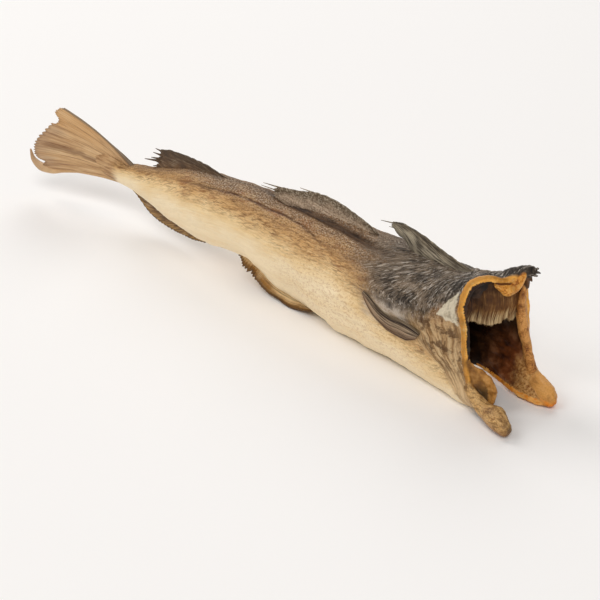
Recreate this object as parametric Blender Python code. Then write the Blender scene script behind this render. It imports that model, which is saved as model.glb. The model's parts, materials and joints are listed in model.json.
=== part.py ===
"""Air-dried cod, headless and gutted, lying on its belly: one solid piece of dried fish.

Sizes are in millimetres. x runs from the tail to the neck, z is up from the table, and the side
that carries the shown breast fin is at negative y. A station is a place along the body's length,
and a turn is a place round its section: 0 under the belly, 0.25 on the near flank, 0.5 on the
back and 0.75 on the far flank.
"""
import math

import bmesh
import bpy
import numpy as np

MM = 0.001
NAME = "stockfish"

# The middle of the footprint, in the modelling frame, which becomes the origin.
MIDDLE_X = -264.4
MIDDLE_Y = -5.5

# The body along its length: station, top of the back, underside, half width.
BODY = (
    (-450.0, 62.5, 38.0, 7.5),
    (-425.0, 66.0, 33.0, 9.5),
    (-400.0, 72.0, 27.0, 12.0),
    (-370.0, 80.5, 21.5, 15.5),
    (-335.0, 88.0, 17.5, 20.0),
    (-300.0, 90.5, 19.5, 22.5),
    (-275.0, 91.3, 20.3, 23.5),
    (-255.0, 92.0, 13.7, 25.5),
    (-230.0, 92.7, 1.0, 27.5),
    (-205.0, 93.5, 0.0, 29.0),
    (-180.0, 94.5, -1.5, 30.5),
    (-150.0, 95.5, -2.0, 31.0),
    (-95.0, 95.5, -2.0, 31.0),
    (-55.0, 95.0, -2.0, 30.0),
    (-25.0, 98.5, -2.0, 29.0),
    (0.0, 108.5, -2.0, 29.0),
)
# How far the belly sags to the far side behind the gutted part: station, distance.
BELLY_SAG = ((-335.0, 0.0), (-300.0, 3.0), (-275.0, 6.0), (-255.0, 9.0), (-230.0, 12.0), (-205.0, 12.0),
             (-180.0, 8.5), (-150.0, 1.0), (-125.0, 0.0))
# How square the section is above and below its middle: station, upper power, lower power.
SQUARENESS = ((-450.0, 2.2, 2.2), (-300.0, 2.2, 2.3), (-205.0, 2.2, 2.7), (-95.0, 2.3, 3.0),
              (-40.0, 2.5, 3.6), (0.0, 3.6, 4.2))
# The slanting cut of the neck: turn, how far the edge lies ahead of the last station.
NECK_CUT = ((0.0, 8.0), (0.08, 0.0), (0.12, -2.0), (0.18, -5.0), (0.22, -9.0), (0.24, -13.0),
            (0.26, -19.0), (0.30, -24.0), (0.38, -22.0), (0.44, -16.0), (0.5, -7.0), (0.56, 1.0),
            (0.60, 3.0), (0.64, 0.0), (0.68, -3.0), (0.72, -1.0), (0.745, 1.0), (0.76, 4.0),
            (0.78, 9.0), (0.82, 14.0), (0.88, 17.0), (0.94, 17.0), (1.0, 8.0))
NECK_CUT_FROM = -90.0
NECK_LEAN = ((0.0, -7.5), (30.0, -3.5), (65.0, 1.5), (110.0, 2.5))
TAIL_STALK_SWAY = 2.8
SWAY_FROM = -425.0

# The furrow beside the folded fin on the near side of the back: station, turn.
FURROW = ((-270.0, 0.53), (-258.0, 0.52), (-229.0, 0.481), (-196.0, 0.458), (-164.0, 0.441),
          (-134.0, 0.421), (-105.0, 0.404), (-80.0, 0.39))
FURROW_FROM, FURROW_TO = -262.0, -85.0
FURROW_RISE, FURROW_FALL = 37.0, 50.0
FURROW_DEPTH, FURROW_WIDTH = 3.0, 0.024
# Where the nape sags above the thick fold in the cut edge.
DIP_FROM, DIP_DEPTH, DIP_Y, DIP_WIDTH = -20.0, 7.5, 5.0, 9.5
DIP_FOOT, DIP_HEAD = 78.0, 96.0

# The hollow belly: station, roof, floor, half width. Ahead of the flesh wall it reaches the skin.
HOLLOW = (
    (-152.0, 31.0, 25.0, 3.0),
    (-140.0, 38.0, 16.0, 11.0),
    (-120.0, 47.0, 9.0, 18.0),
    (-80.0, 57.0, 5.0, 24.0),
    (-40.0, 61.0, 4.0, 24.0),
    (-14.0, 62.0, 4.0, 24.0),
    (-10.0, 98.0, 4.0, 24.0),
    (-4.0, 102.4, 4.0, 24.0),
    (30.0, 103.0, 4.0, 24.0),
)
# The belly slit on the table, from its closed end round to the mouth: x, y.
SLIT = ((-52.0, 6.0), (-25.0, -10.0), (0.0, -20.5), (20.0, -24.0), (60.0, -24.0),
        (60.0, 12.0), (15.0, 10.5), (1.0, 12.2), (-11.0, 15.6), (-24.0, 18.5), (-38.0, 18.5))
SLIT_TOP = 20.0

# How thick the cut edge is: turn, radius.
RIM_SIZES = ((0.10, 3.5), (0.16, 3.2), (0.25, 2.8), (0.40, 2.7), (0.50, 3.0), (0.55, 2.9), (0.60, 2.3),
             (0.68, 2.2), (0.76, 2.6), (0.84, 3.3), (0.91, 3.6))
RIM_TURNS = (0.10, 0.91)
# The share of its radius by which the edge's middle lies inside the skin.
RIM_INSET = 0.78
NEAR_LOBE = ((-8.0, -30.0, 20.0, 4.0), (2.0, -31.0, 14.0, 7.0), (12.0, -32.0, 10.0, 8.5),
             (21.0, -35.0, 9.5, 9.0), (28.0, -38.0, 8.0, 7.6), (33.0, -39.6, 6.4, 6.0))
FAR_LOBE = ((6.0, 26.0, 25.0, 3.5), (13.0, 24.5, 16.0, 5.5), (20.0, 22.0, 11.0, 7.5),
            (28.0, 19.5, 8.8, 8.0), (34.0, 17.5, 7.2, 6.4), (37.5, 16.0, 5.6, 4.4))
# The band of flesh inside the far edge.
FAR_FLESH = ((-2.0, 24.0, 90.0, 2.0), (-2.5, 22.8, 78.0, 3.2), (-1.5, 22.4, 66.0, 4.0), (1.0, 22.4, 54.0, 4.2),
             (5.0, 22.6, 42.0, 4.0), (9.0, 22.6, 30.0, 3.8), (13.0, 22.4, 20.0, 4.5))
# The thin hem of the far flap, which runs back from its lobe along the slit.
FAR_HEM = ((36.0, 15.0, 4.8, 3.4), (25.0, 10.8, 3.4, 2.7), (13.0, 10.3, 3.2, 2.1), (1.0, 12.2, 3.6, 1.9),
           (-11.0, 15.6, 4.0, 1.8), (-24.0, 18.8, 4.6, 1.8), (-36.0, 20.5, 6.0, 1.8))
TOP_FOLD = ((-13.0, -7.4, 99.1, 3.2), (-8.5, -1.0, 94.8, 4.2), (-5.0, 5.5, 91.6, 5.2),
            (-2.5, 10.5, 93.4, 4.6), (0.0, 14.0, 99.0, 3.4), (1.5, 15.5, 104.0, 2.6))
NAPE_TIP = ((-10.0, 12.0, 101.5, 5.0), (-3.0, 17.5, 104.0, 5.0), (2.5, 21.0, 106.2, 4.2),
            (6.5, 22.5, 107.4, 2.8))
# The curled flap inside the near wall: its free edge and its root on the wall, from top to foot.
CURL_EDGE = ((-10.5, -24.6, 38.2), (0.0, -23.6, 35.0), (7.6, -22.4, 29.2), (11.4, -21.6, 20.0),
             (10.6, -23.0, 10.5), (8.0, -26.0, 2.6))
CURL_ROOT = ((-18.0, -28.3, 39.4), (-14.0, -29.0, 29.0), (-9.0, -29.5, 21.0), (-4.0, -30.5, 14.0),
             (0.0, -31.5, 8.5), (4.0, -32.5, 2.6))
CURL_HOLLOW, CURL_THICKNESS = 5.0, 3.2

# The ragged curtain of flesh over the hollow: a row of flakes between two places on its lower edge.
CURTAIN_NEAR, CURTAIN_FAR = (-36.0, -22.0, 64.0), (-15.5, 21.5, 63.0)
CURTAIN_FLAKES = 8
CURTAIN_DROP = 6.5
CURTAIN_FLAKE_RADIUS = 4.6

# Free edges of the fins, from the tail end to the neck end: x, z.
THIRD_BACK_FIN = ((-417.0, 76.0), (-408.0, 77.5), (-405.0, 85.0), (-401.0, 84.0), (-400.0, 90.0),
                  (-392.0, 92.5), (-379.0, 92.5), (-354.0, 95.5), (-335.0, 94.5), (-318.0, 90.5))
SECOND_BACK_FIN = ((-259.0, 101.5), (-250.0, 97.5), (-232.0, 104.0), (-222.0, 102.0), (-214.0, 109.5),
                   (-201.0, 110.0), (-188.0, 111.5), (-173.0, 110.5), (-152.0, 106.0), (-128.0, 98.0))
FIRST_BACK_FIN = ((-125.0, 110.5), (-117.0, 110.0), (-109.0, 108.0), (-113.0, 113.5), (-104.0, 115.5),
                  (-94.0, 114.0), (-84.0, 110.5), (-70.0, 107.0), (-56.0, 103.0), (-42.0, 98.0))
REAR_BELLY_FIN = ((-440.0, 35.0), (-430.0, 26.0), (-417.0, 17.5), (-406.0, 14.0), (-390.0, 11.0),
                  (-374.0, 10.5), (-356.0, 11.0), (-338.0, 14.0))
BACK_FIN_ROOTS = {"third": (-403.0, -318.0), "second": (-243.0, -128.0), "first": (-106.0, -42.0)}
REAR_BELLY_ROOT = (-440.0, -338.0)
FIN_SINK = 5.0
FIN_ROOT_THICKNESS = 5.0
FIN_EDGE_THICKNESS = 1.6

# The front belly fin hangs folded to the near side: x of its root, then x, y, z of its edge.
FRONT_BELLY_FIN = ((-286.0, -286.0, -6.0, 21.5), (-276.0, -275.0, -12.0, 19.0), (-266.0, -264.0, -14.5, 17.0),
                   (-258.0, -256.0, -14.5, 11.5), (-250.0, -248.0, -14.5, 6.0), (-240.0, -236.0, -15.0, 3.8),
                   (-229.0, -225.0, -15.5, 2.4), (-218.0, -214.0, -16.0, 2.0), (-208.0, -204.0, -15.5, 2.8),
                   (-199.0, -195.0, -15.0, 4.6), (-191.0, -187.0, -15.5, 7.5))
FOLDED_FIN_THICKNESS = 3.0
FOLDED_FIN_Y, FOLDED_FIN_SINK = 1.5, 6.0

# The breast fins: lower and upper margins on the flank from root to tip, as x and z.
BREAST_LOWER = ((-60.0, 41.5), (-66.0, 38.0), (-72.0, 36.2), (-80.0, 36.4), (-89.0, 37.4), (-96.0, 40.4),
                (-104.0, 44.6), (-109.5, 50.0), (-113.5, 56.0), (-115.5, 60.5))
BREAST_UPPER = ((-57.0, 47.5), (-62.0, 49.5), (-68.0, 51.2), (-76.0, 52.0), (-84.0, 51.6), (-91.0, 52.2),
                (-98.0, 54.4), (-105.0, 58.0), (-110.5, 61.2), (-115.0, 63.0))
BREAST_THICKNESS = 3.6

# The tail fin, in its own plane: distance behind the stalk and height, from its foot to its top.
TAIL_BEND = math.radians(12.0)
TAIL_LAP, TAIL_INSET = 8.0, 1.5
TAIL_TIPS = ((111.0, 29.0), (109.5, 35.5), (105.0, 41.0), (113.5, 43.0), (118.0, 47.5), (118.3, 54.0),
             (114.3, 62.5), (104.0, 73.0), (93.0, 82.8), (86.4, 84.3), (84.4, 90.3), (88.5, 95.5), (83.0, 100.3),
             (76.5, 102.4))
TAIL_BOW_TOP, TAIL_BOW_FOOT = 5.0, 4.5
TAIL_ROOT_THICKNESS, TAIL_EDGE_THICKNESS = 11.0, 1.8
TAIL_HOOK = ((84.0, 31.0, 2.4), (100.0, 30.6, 3.4), (112.0, 32.2, 4.4), (119.0, 34.9, 3.6),
             (124.2, 40.0, 2.3), (126.0, 48.5, 0.9))

SKIN = (0.42, 0.33, 0.22, 1.0)
CUTTER = (0.35, 0.14, 0.06, 1.0)


def through(knots, x, column=1):
    """A smooth curve through a few knots that doesn't overshoot them."""
    table = np.asarray(knots, float)
    places, values = table[:, 0], table[:, column]
    gaps = np.diff(places)
    slopes = np.diff(values) / gaps
    tangents = np.zeros(len(places))
    tangents[0], tangents[-1] = slopes[0], slopes[-1]
    same_way = slopes[:-1] * slopes[1:] > 0
    tangents[1:-1][same_way] = 2.0 / (1.0 / slopes[:-1][same_way] + 1.0 / slopes[1:][same_way])
    x = np.clip(x, places[0], places[-1])
    i = np.clip(np.searchsorted(places, x) - 1, 0, len(gaps) - 1)
    t = (x - places[i]) / gaps[i]
    rise = values[i] * (1 + 2 * t) * (1 - t) ** 2 + values[i + 1] * t * t * (3 - 2 * t)
    return rise + gaps[i] * (tangents[i] * t * (1 - t) ** 2 - tangents[i + 1] * t * t * (1 - t))


def ease(x, start, end):
    """0 before start, 1 after end and smooth between."""
    t = np.clip((x - start) / (end - start), 0.0, 1.0)
    return t * t * (3.0 - 2.0 * t)


def rounded(value, power):
    """A sine or cosine squared off by a power, which makes an ellipse boxier."""
    return np.sign(value) * np.abs(value) ** (2.0 / power)


def lean(station, z):
    """How far the section's middle leans to the near side at the neck."""
    return ease(station, NECK_CUT_FROM, 0.0) * through(NECK_LEAN, z)


def sway(station):
    """The tail stalk turns to the near side."""
    behind = np.clip((SWAY_FROM - station) / (SWAY_FROM - BODY[0][0]), 0.0, 1.0)
    return -TAIL_STALK_SWAY * behind ** 2


def sag(station, z, top, low):
    """How far the belly lies over to the far side."""
    up = np.clip((z - low) / (top - low), 0.0, 1.0)
    return through(BELLY_SAG, station) * (1 - up) ** 2


def section(station, turn, top, low, half):
    """Points round one section, cut slanting at the neck."""
    up, side = -np.cos(2 * math.pi * turn), np.sin(2 * math.pi * turn)
    power = np.where(up > 0, through(SQUARENESS, station, 1), through(SQUARENESS, station, 2))
    level = (top + low) / 2
    y = -half * rounded(side, power)
    z = level + (top - low) / 2 * rounded(up, power)
    x = station + ease(station, NECK_CUT_FROM, 0.0) * through(NECK_CUT, turn)
    return np.stack([x, y + lean(station, z) + sway(station) + sag(station, z, top, low), z], axis=-1)


def dipped(points, station):
    """Points on the nape or under it, lowered where it sags."""
    share = ease(station, DIP_FROM, 0.0) * ease(points[..., 2], DIP_FOOT, DIP_HEAD)
    points[..., 2] -= DIP_DEPTH * share * np.exp(-((points[..., 1] - DIP_Y) / DIP_WIDTH) ** 2)
    return points


def skin(station, turn, inset=0.0):
    """Points on the outer skin, or a little inside it."""
    station, turn = np.broadcast_arrays(np.asarray(station, float), np.asarray(turn, float))
    top, low, half = (through(BODY, station, column) for column in (1, 2, 3))
    points = dipped(section(station, turn, top - inset, low + inset, half - inset), station)
    along = ease(station, FURROW_FROM, FURROW_FROM + FURROW_RISE)
    along = along * (1 - ease(station, FURROW_TO - FURROW_FALL, FURROW_TO))
    furrow = FURROW_DEPTH * along * np.exp(-((turn - through(FURROW, station)) / FURROW_WIDTH) ** 2)
    points[..., 2] = np.maximum(points[..., 2] - furrow, 0.0)
    return points


def flank_y(x, z):
    """The near flank's y at a place on the body behind the neck."""
    top, low, half = (through(BODY, x, column) for column in (1, 2, 3))
    level, reach = (top + low) / 2, (top - low) / 2
    power = np.where(z > level, through(SQUARENESS, x, 1), through(SQUARENESS, x, 2))
    share = np.clip(np.abs(z - level) / reach, 0.0, 1.0)
    return -half * (1 - share ** power) ** (1 / power) + lean(x, z)


def material(name, colour, roughness):
    made = bpy.data.materials.new(name)
    made.use_nodes = True
    shader = made.node_tree.nodes["Principled BSDF"]
    shader.inputs["Base Color"].default_value = colour
    shader.inputs["Roughness"].default_value = roughness
    shader.inputs["Metallic"].default_value = 0.0
    made.diffuse_color = colour
    return made


def collection(name):
    made = bpy.data.collections.new(name)
    bpy.context.scene.collection.children.link(made)
    return made


def add_mesh(name, vertices, faces, finish, where):
    """An object from points in millimetres, moved so that the footprint's middle is the origin."""
    points = (np.asarray(vertices, float) - (MIDDLE_X, MIDDLE_Y, 0.0)) * MM
    mesh = bpy.data.meshes.new(name)
    mesh.from_pydata(points.tolist(), [], faces)
    mesh.materials.append(finish)
    made = bpy.data.objects.new(name, mesh)
    where.objects.link(made)
    shell = bmesh.new()
    shell.from_mesh(mesh)
    bmesh.ops.recalc_face_normals(shell, faces=shell.faces)
    shell.to_mesh(mesh)
    shell.free()
    return made


def loft(name, rings, finish, where):
    """A closed skin over rings of as many points each, with a fan over both ends."""
    count, sides = rings.shape[:2]
    vertices = rings.reshape(-1, 3).tolist()
    vertices += [rings[0].mean(axis=0).tolist(), rings[-1].mean(axis=0).tolist()]
    faces = []
    for i in range(count - 1):
        for j in range(sides):
            k = (j + 1) % sides
            faces.append((i * sides + j, i * sides + k, (i + 1) * sides + k, (i + 1) * sides + j))
    for j in range(sides):
        k = (j + 1) % sides
        faces.append((count * sides, k, j))
        faces.append((count * sides + 1, (count - 1) * sides + j, (count - 1) * sides + k))
    return add_mesh(name, vertices, faces, finish, where)


def sheet(name, middle, thickness, finish, where):
    """A closed thin solid round a grid of points."""
    rows, columns = middle.shape[:2]
    normal = np.cross(np.gradient(middle, axis=0), np.gradient(middle, axis=1))
    normal /= np.linalg.norm(normal, axis=-1)[..., None]
    half = normal * (np.broadcast_to(thickness, middle.shape[:2]) / 2)[..., None]
    sides = [middle + half, middle - half]
    vertices = np.concatenate([side.reshape(-1, 3) for side in sides])
    size = rows * columns

    def at(i, j, side):
        return side * size + i * columns + j

    faces = []
    for i in range(rows - 1):
        for j in range(columns - 1):
            for side in (0, 1):
                a, b, c, d = at(i, j, side), at(i + 1, j, side), at(i + 1, j + 1, side), at(i, j + 1, side)
                faces += [(a, b, c), (a, c, d)]
    rim = [(i, 0) for i in range(rows)] + [(rows - 1, j) for j in range(1, columns)]
    rim += [(i, columns - 1) for i in range(rows - 2, -1, -1)] + [(0, j) for j in range(columns - 2, 0, -1)]
    for (i, j), (k, m) in zip(rim, rim[1:] + rim[:1]):
        faces.append((at(i, j, 0), at(k, m, 0), at(k, m, 1), at(i, j, 1)))
    return add_mesh(name, vertices, faces, finish, where)


def rope(name, stops, finish, where, sides=10, between=3):
    """A round limb through stops of x, y, z and radius, with rounded ends."""
    stops = np.asarray(stops, float)
    places = np.arange(len(stops), dtype=float)
    fine = np.linspace(0, len(stops) - 1, (len(stops) - 1) * between + 1)
    path = np.stack([through(np.stack([places, stops[:, k]], 1), fine) for k in range(4)], 1)
    centre, radius = path[:, :3], path[:, 3]
    ahead = np.gradient(centre, axis=0)
    ahead /= np.linalg.norm(ahead, axis=1)[:, None]
    caps = ((0.0, 0.75, 0.45), (0.0, 0.45, 0.85))
    first = [(centre[0] - ahead[0] * radius[0] * c[1], radius[0] * c[2]) for c in reversed(caps)]
    last = [(centre[-1] + ahead[-1] * radius[-1] * c[1], radius[-1] * c[2]) for c in reversed(caps)]
    first.reverse()
    joints = first + list(zip(centre, radius)) + last
    ways = [ahead[0]] * 2 + list(ahead) + [ahead[-1]] * 2
    rings = []
    across = np.cross(ways[0], (0.0, 0.0, 1.0))
    if np.linalg.norm(across) < 0.2:
        across = np.cross(ways[0], (0.0, 1.0, 0.0))
    for (middle, size), way in zip(joints, ways):
        across = across - way * np.dot(across, way)
        across /= np.linalg.norm(across)
        over = np.cross(way, across)
        angles = np.arange(sides) * 2 * math.pi / sides
        rings.append(middle + size * (np.cos(angles)[:, None] * across + np.sin(angles)[:, None] * over))
    return loft(name, np.array(rings), finish, where)


def body(finish, where):
    """The trunk from the tail stalk to the neck."""
    stations = np.concatenate([np.linspace(-450, -96, 34), np.linspace(-88, 0, 16)])
    turns = np.arange(40) / 40
    return loft(NAME, skin(stations[:, None], turns[None, :]), finish, where)


def hollow(finish, where):
    """The gutted belly with its mouth, as a cutter."""
    stations = np.array([-152, -148, -140, -130, -118, -100, -80, -60, -40, -27, -14, -10, -4, 4, 14, 30.0])
    turns = np.arange(28) / 28
    station, turn = np.meshgrid(stations, turns, indexing="ij")
    roof, floor, half = (through(HOLLOW, station, column) for column in (1, 2, 3))
    rings = dipped(section(station, turn, roof, floor, half), station)
    return loft("hollow", rings, finish, where)


def slit(finish, where):
    """The opened belly between the two flaps, as a cutter."""
    low = [(x, y, -5.0) for x, y in SLIT]
    high = [(x, y, SLIT_TOP) for x, y in SLIT]
    return loft("slit", np.array([low, high]), finish, where)


def rim(finish, where):
    """The thick cut edge of the skin round the neck."""
    turns = np.linspace(RIM_TURNS[0], RIM_TURNS[1], 21)
    radius = through(RIM_SIZES, turns)
    outer, inner = skin(-1.0, turns), skin(-1.0, turns, inset=10.0)
    middle = outer + (inner - outer) / 10.0 * (RIM_INSET * radius)[:, None]
    stops = np.concatenate([middle, radius[:, None]], axis=1)
    return rope("rim", stops, finish, where, sides=8, between=2)


def curled_flap(finish, where, rows=11, columns=5):
    """The leaf of belly wall that curls up inside the near flap and leaves a pocket behind it."""
    knots = np.linspace(0, 1, len(CURL_EDGE))
    u = np.linspace(0, 1, rows)

    def line(points):
        points = np.asarray(points, float)
        return np.stack([through(np.stack([knots, points[:, k]], 1), u) for k in range(3)], 1)

    share = np.linspace(0, 1, columns)[None, :, None]
    root, edge = line(CURL_ROOT)[:, None, :], line(CURL_EDGE)[:, None, :]
    middle = root + share * (edge - root)
    middle[..., 0] -= CURL_HOLLOW * np.sin(np.pi * share[..., 0]) * np.sin(np.pi * u)[:, None]
    return sheet("curled_flap", middle, CURL_THICKNESS, finish, where)


def curtain(finish, where):
    """Flakes of flesh that hang in a ragged row over the hollow."""
    near, far = np.array(CURTAIN_NEAR), np.array(CURTAIN_FAR)
    for i in range(CURTAIN_FLAKES):
        x, y, z = near + (i + 0.5) / CURTAIN_FLAKES * (far - near)
        drop = CURTAIN_DROP * (0.7 + 0.3 * math.cos(2.4 * i))
        stops = ((x, y, z + 5.0, CURTAIN_FLAKE_RADIUS),
                 (x + 0.6, y + 0.4, z - drop / 2, CURTAIN_FLAKE_RADIUS * 0.8),
                 (x + 0.9, y + 0.8, z - drop, CURTAIN_FLAKE_RADIUS * 0.4))
        rope("flake", stops, finish, where, sides=6, between=1)


def upright_fin(name, edge, root_from, root_to, under, finish, where, rows=4):
    """A fin in the upright middle plane, from its sunken root to its ragged edge."""
    edge = np.asarray(edge, float)
    roots_x = np.linspace(root_from, root_to, len(edge))
    if under:
        roots_z = through(BODY, roots_x, 2) + FIN_SINK
    else:
        roots_z = through(BODY, roots_x, 1) - FIN_SINK
    share = np.linspace(0, 1, rows)[None, :, None]
    root = np.stack([roots_x, sway(roots_x), roots_z], 1)[:, None, :]
    rim_points = np.stack([edge[:, 0], sway(edge[:, 0]), edge[:, 1]], 1)[:, None, :]
    middle = root + share * (rim_points - root)
    thickness = FIN_ROOT_THICKNESS + share[..., 0] * (FIN_EDGE_THICKNESS - FIN_ROOT_THICKNESS)
    return sheet(name, middle, thickness, finish, where)


def front_belly_fin(finish, where, rows=4):
    """The fin behind the vent, which hangs folded to the near side."""
    table = np.asarray(FRONT_BELLY_FIN, float)
    roots_z = through(BODY, table[:, 0], 2) + FOLDED_FIN_SINK
    root = np.stack([table[:, 0], np.full(len(table), FOLDED_FIN_Y), roots_z], 1)
    share = np.linspace(0, 1, rows)[None, :, None]
    middle = root[:, None, :] + share * (table[:, None, 1:] - root[:, None, :])
    thickness = FOLDED_FIN_THICKNESS - share[..., 0]
    middle[..., 2] = np.maximum(middle[..., 2], thickness / 2 + 0.1)
    return sheet("front_belly_fin", middle, thickness, finish, where)


def breast_fin(side, finish, where, rows=9, columns=5):
    """A dried breast fin pressed to the flank, near (-1) or far (1)."""
    u = np.linspace(0, 1, rows)
    knots = np.linspace(0, 1, len(BREAST_LOWER))

    def margin(points):
        points = np.asarray(points, float)
        return np.stack([through(np.stack([knots, points[:, k]], 1), u) for k in (0, 1)], 1)

    share = np.linspace(0, 1, columns)[None, :, None]
    lower, upper = margin(BREAST_LOWER)[:, None, :], margin(BREAST_UPPER)[:, None, :]
    flat = lower + share * (upper - lower)
    x, z = flat[..., 0], flat[..., 1]
    near = flank_y(x, z) - 0.9
    y = near if side < 0 else 2 * lean(x, z) - near
    middle = np.stack([x, y, z], -1)
    swell = np.sin(np.pi * (0.12 + 0.76 * share[..., 0])) * (1 - 0.45 * u[:, None])
    return sheet("breast_fin", middle, BREAST_THICKNESS * swell, finish, where)


def tail_point(behind, z, off=0.0):
    """A place in the tail fin's own plane, which turns to the near side."""
    x = BODY[0][0] + 4.0 - behind * math.cos(TAIL_BEND) + off * math.sin(TAIL_BEND)
    y = -TAIL_STALK_SWAY - behind * math.sin(TAIL_BEND) - off * math.cos(TAIL_BEND)
    return np.stack(np.broadcast_arrays(x, y, z), axis=-1)


def tail(finish, where, rows=9):
    """The tail fin with its ragged end and its hooked lowest ray."""
    tips = np.asarray(TAIL_TIPS, float)
    share = np.linspace(0, 1, len(tips))
    foot, head = BODY[0][2] + TAIL_INSET, BODY[0][1] - TAIL_INSET
    roots = np.stack([np.full(len(tips), -TAIL_LAP), foot + share * (head - foot)], 1)
    out = np.linspace(0, 1, rows)[None, :, None]
    flat = roots[:, None, :] + out * (tips[:, None, :] - roots[:, None, :])
    bow = TAIL_BOW_FOOT + share * (TAIL_BOW_TOP - TAIL_BOW_FOOT)
    flat[..., 1] += 4 * bow[:, None] * out[..., 0] * (1 - out[..., 0])
    wave = 2.5 * np.sin(5.5 * share)[:, None] * out[..., 0] ** 2
    middle = tail_point(flat[..., 0], flat[..., 1], wave)
    fall = np.clip(out[..., 0] * 3.2, 0, 1)
    thickness = TAIL_ROOT_THICKNESS + fall * (TAIL_EDGE_THICKNESS - TAIL_ROOT_THICKNESS)
    sheet("tail", middle, thickness, finish, where)
    hook = [(*tail_point(behind, z), radius) for behind, z, radius in TAIL_HOOK]
    rope("tail_hook", hook, finish, where, sides=8, between=2)


def boolean(target, operation, pieces):
    """Cut the pieces out of the target, or join them to it, and keep the result as its mesh."""
    step = target.modifiers.new(operation, "BOOLEAN")
    step.operation = operation
    step.solver = "EXACT"
    step.operand_type = "COLLECTION"
    step.collection = pieces
    graph = bpy.context.evaluated_depsgraph_get()
    result = bpy.data.meshes.new_from_object(target.evaluated_get(graph))
    target.modifiers.clear()
    target.data = result


def empty_out(pieces):
    for item in list(pieces.objects):
        bpy.data.objects.remove(item, do_unlink=True)


def main():
    for item in list(bpy.data.objects):
        bpy.data.objects.remove(item, do_unlink=True)
    parts, cutters, limbs = collection(NAME + "_part"), collection("cutters"), collection("limbs")
    dried = material("dried_fish", SKIN, 0.62)
    inside = material("cut_away", CUTTER, 0.7)

    fish = body(dried, parts)
    hollow(inside, cutters)
    slit(inside, cutters)
    for cutter in cutters.objects:
        cutter.hide_render = True
        cutter.display_type = "WIRE"
    boolean(fish, "DIFFERENCE", cutters)
    empty_out(cutters)

    rim(dried, limbs)
    for name, stops in (("near_lobe", NEAR_LOBE), ("far_lobe", FAR_LOBE), ("far_flesh", FAR_FLESH),
                        ("far_hem", FAR_HEM), ("top_fold", TOP_FOLD), ("nape_tip", NAPE_TIP)):
        rope(name, stops, dried, limbs)
    curled_flap(dried, limbs)
    curtain(dried, limbs)
    for name, edge in (("third", THIRD_BACK_FIN), ("second", SECOND_BACK_FIN), ("first", FIRST_BACK_FIN)):
        upright_fin(name, edge, *BACK_FIN_ROOTS[name], False, dried, limbs)
    upright_fin("rear_belly_fin", REAR_BELLY_FIN, *REAR_BELLY_ROOT, True, dried, limbs)
    front_belly_fin(dried, limbs)
    for side in (-1, 1):
        breast_fin(side, dried, limbs)
    tail(dried, limbs)
    boolean(fish, "UNION", limbs)
    empty_out(limbs)

    fish.data.shade_smooth()
    fish.data.set_sharp_from_angle(angle=math.radians(40))


main()
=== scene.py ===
"""The looks of the air-dried cod: skin, cut neck, hollow belly and fins, with camera, table and light.

Shapes are worked out in millimetres in the solid's modelling frame, where x runs from the tail to
the neck, z is up and the side that carries the shown breast fin is at negative y. A station is a
place along the body and a turn a place round its section: 0 belly, 0.25 near flank, 0.5 back and
0.75 far flank. add_mesh moves the points into the shared frame.
"""
import math

import bmesh
import bpy
import numpy as np
from mathutils import Matrix
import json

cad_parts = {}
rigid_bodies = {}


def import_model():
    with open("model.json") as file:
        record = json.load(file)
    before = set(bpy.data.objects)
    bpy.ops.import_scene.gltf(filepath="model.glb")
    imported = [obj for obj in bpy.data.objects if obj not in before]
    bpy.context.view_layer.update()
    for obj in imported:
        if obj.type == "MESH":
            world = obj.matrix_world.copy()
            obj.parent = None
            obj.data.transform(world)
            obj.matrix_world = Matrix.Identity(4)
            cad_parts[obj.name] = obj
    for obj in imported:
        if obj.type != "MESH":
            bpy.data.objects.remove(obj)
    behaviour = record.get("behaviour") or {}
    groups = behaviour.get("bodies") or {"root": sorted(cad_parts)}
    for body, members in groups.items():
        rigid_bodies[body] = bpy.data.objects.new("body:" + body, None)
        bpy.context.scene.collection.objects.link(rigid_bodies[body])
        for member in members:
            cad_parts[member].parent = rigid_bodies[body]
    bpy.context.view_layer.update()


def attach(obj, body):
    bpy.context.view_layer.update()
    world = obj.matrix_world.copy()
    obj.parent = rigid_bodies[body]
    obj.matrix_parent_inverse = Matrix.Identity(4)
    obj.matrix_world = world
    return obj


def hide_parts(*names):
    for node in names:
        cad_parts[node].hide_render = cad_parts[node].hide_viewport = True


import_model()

MM = 0.001
NODE = "stockfish"
MIDDLE_X, MIDDLE_Y = -264.4, -5.5

# ---------------------------------------------------------------- the solid's own named sizes
# The body along its length: station, top of the back, underside, half width.
BODY = ((-450, 62.5, 38, 7.5), (-425, 66, 33, 9.5), (-400, 72, 27, 12), (-370, 80.5, 21.5, 15.5),
        (-335, 88, 17.5, 20), (-300, 90.5, 19.5, 22.5), (-275, 91.3, 20.3, 23.5), (-255, 92, 13.7, 25.5),
        (-230, 92.7, 1, 27.5), (-205, 93.5, 0, 29), (-180, 94.5, -1.5, 30.5), (-150, 95.5, -2, 31),
        (-95, 95.5, -2, 31), (-55, 95, -2, 30), (-25, 98.5, -2, 29), (0, 108.5, -2, 29))
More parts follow.
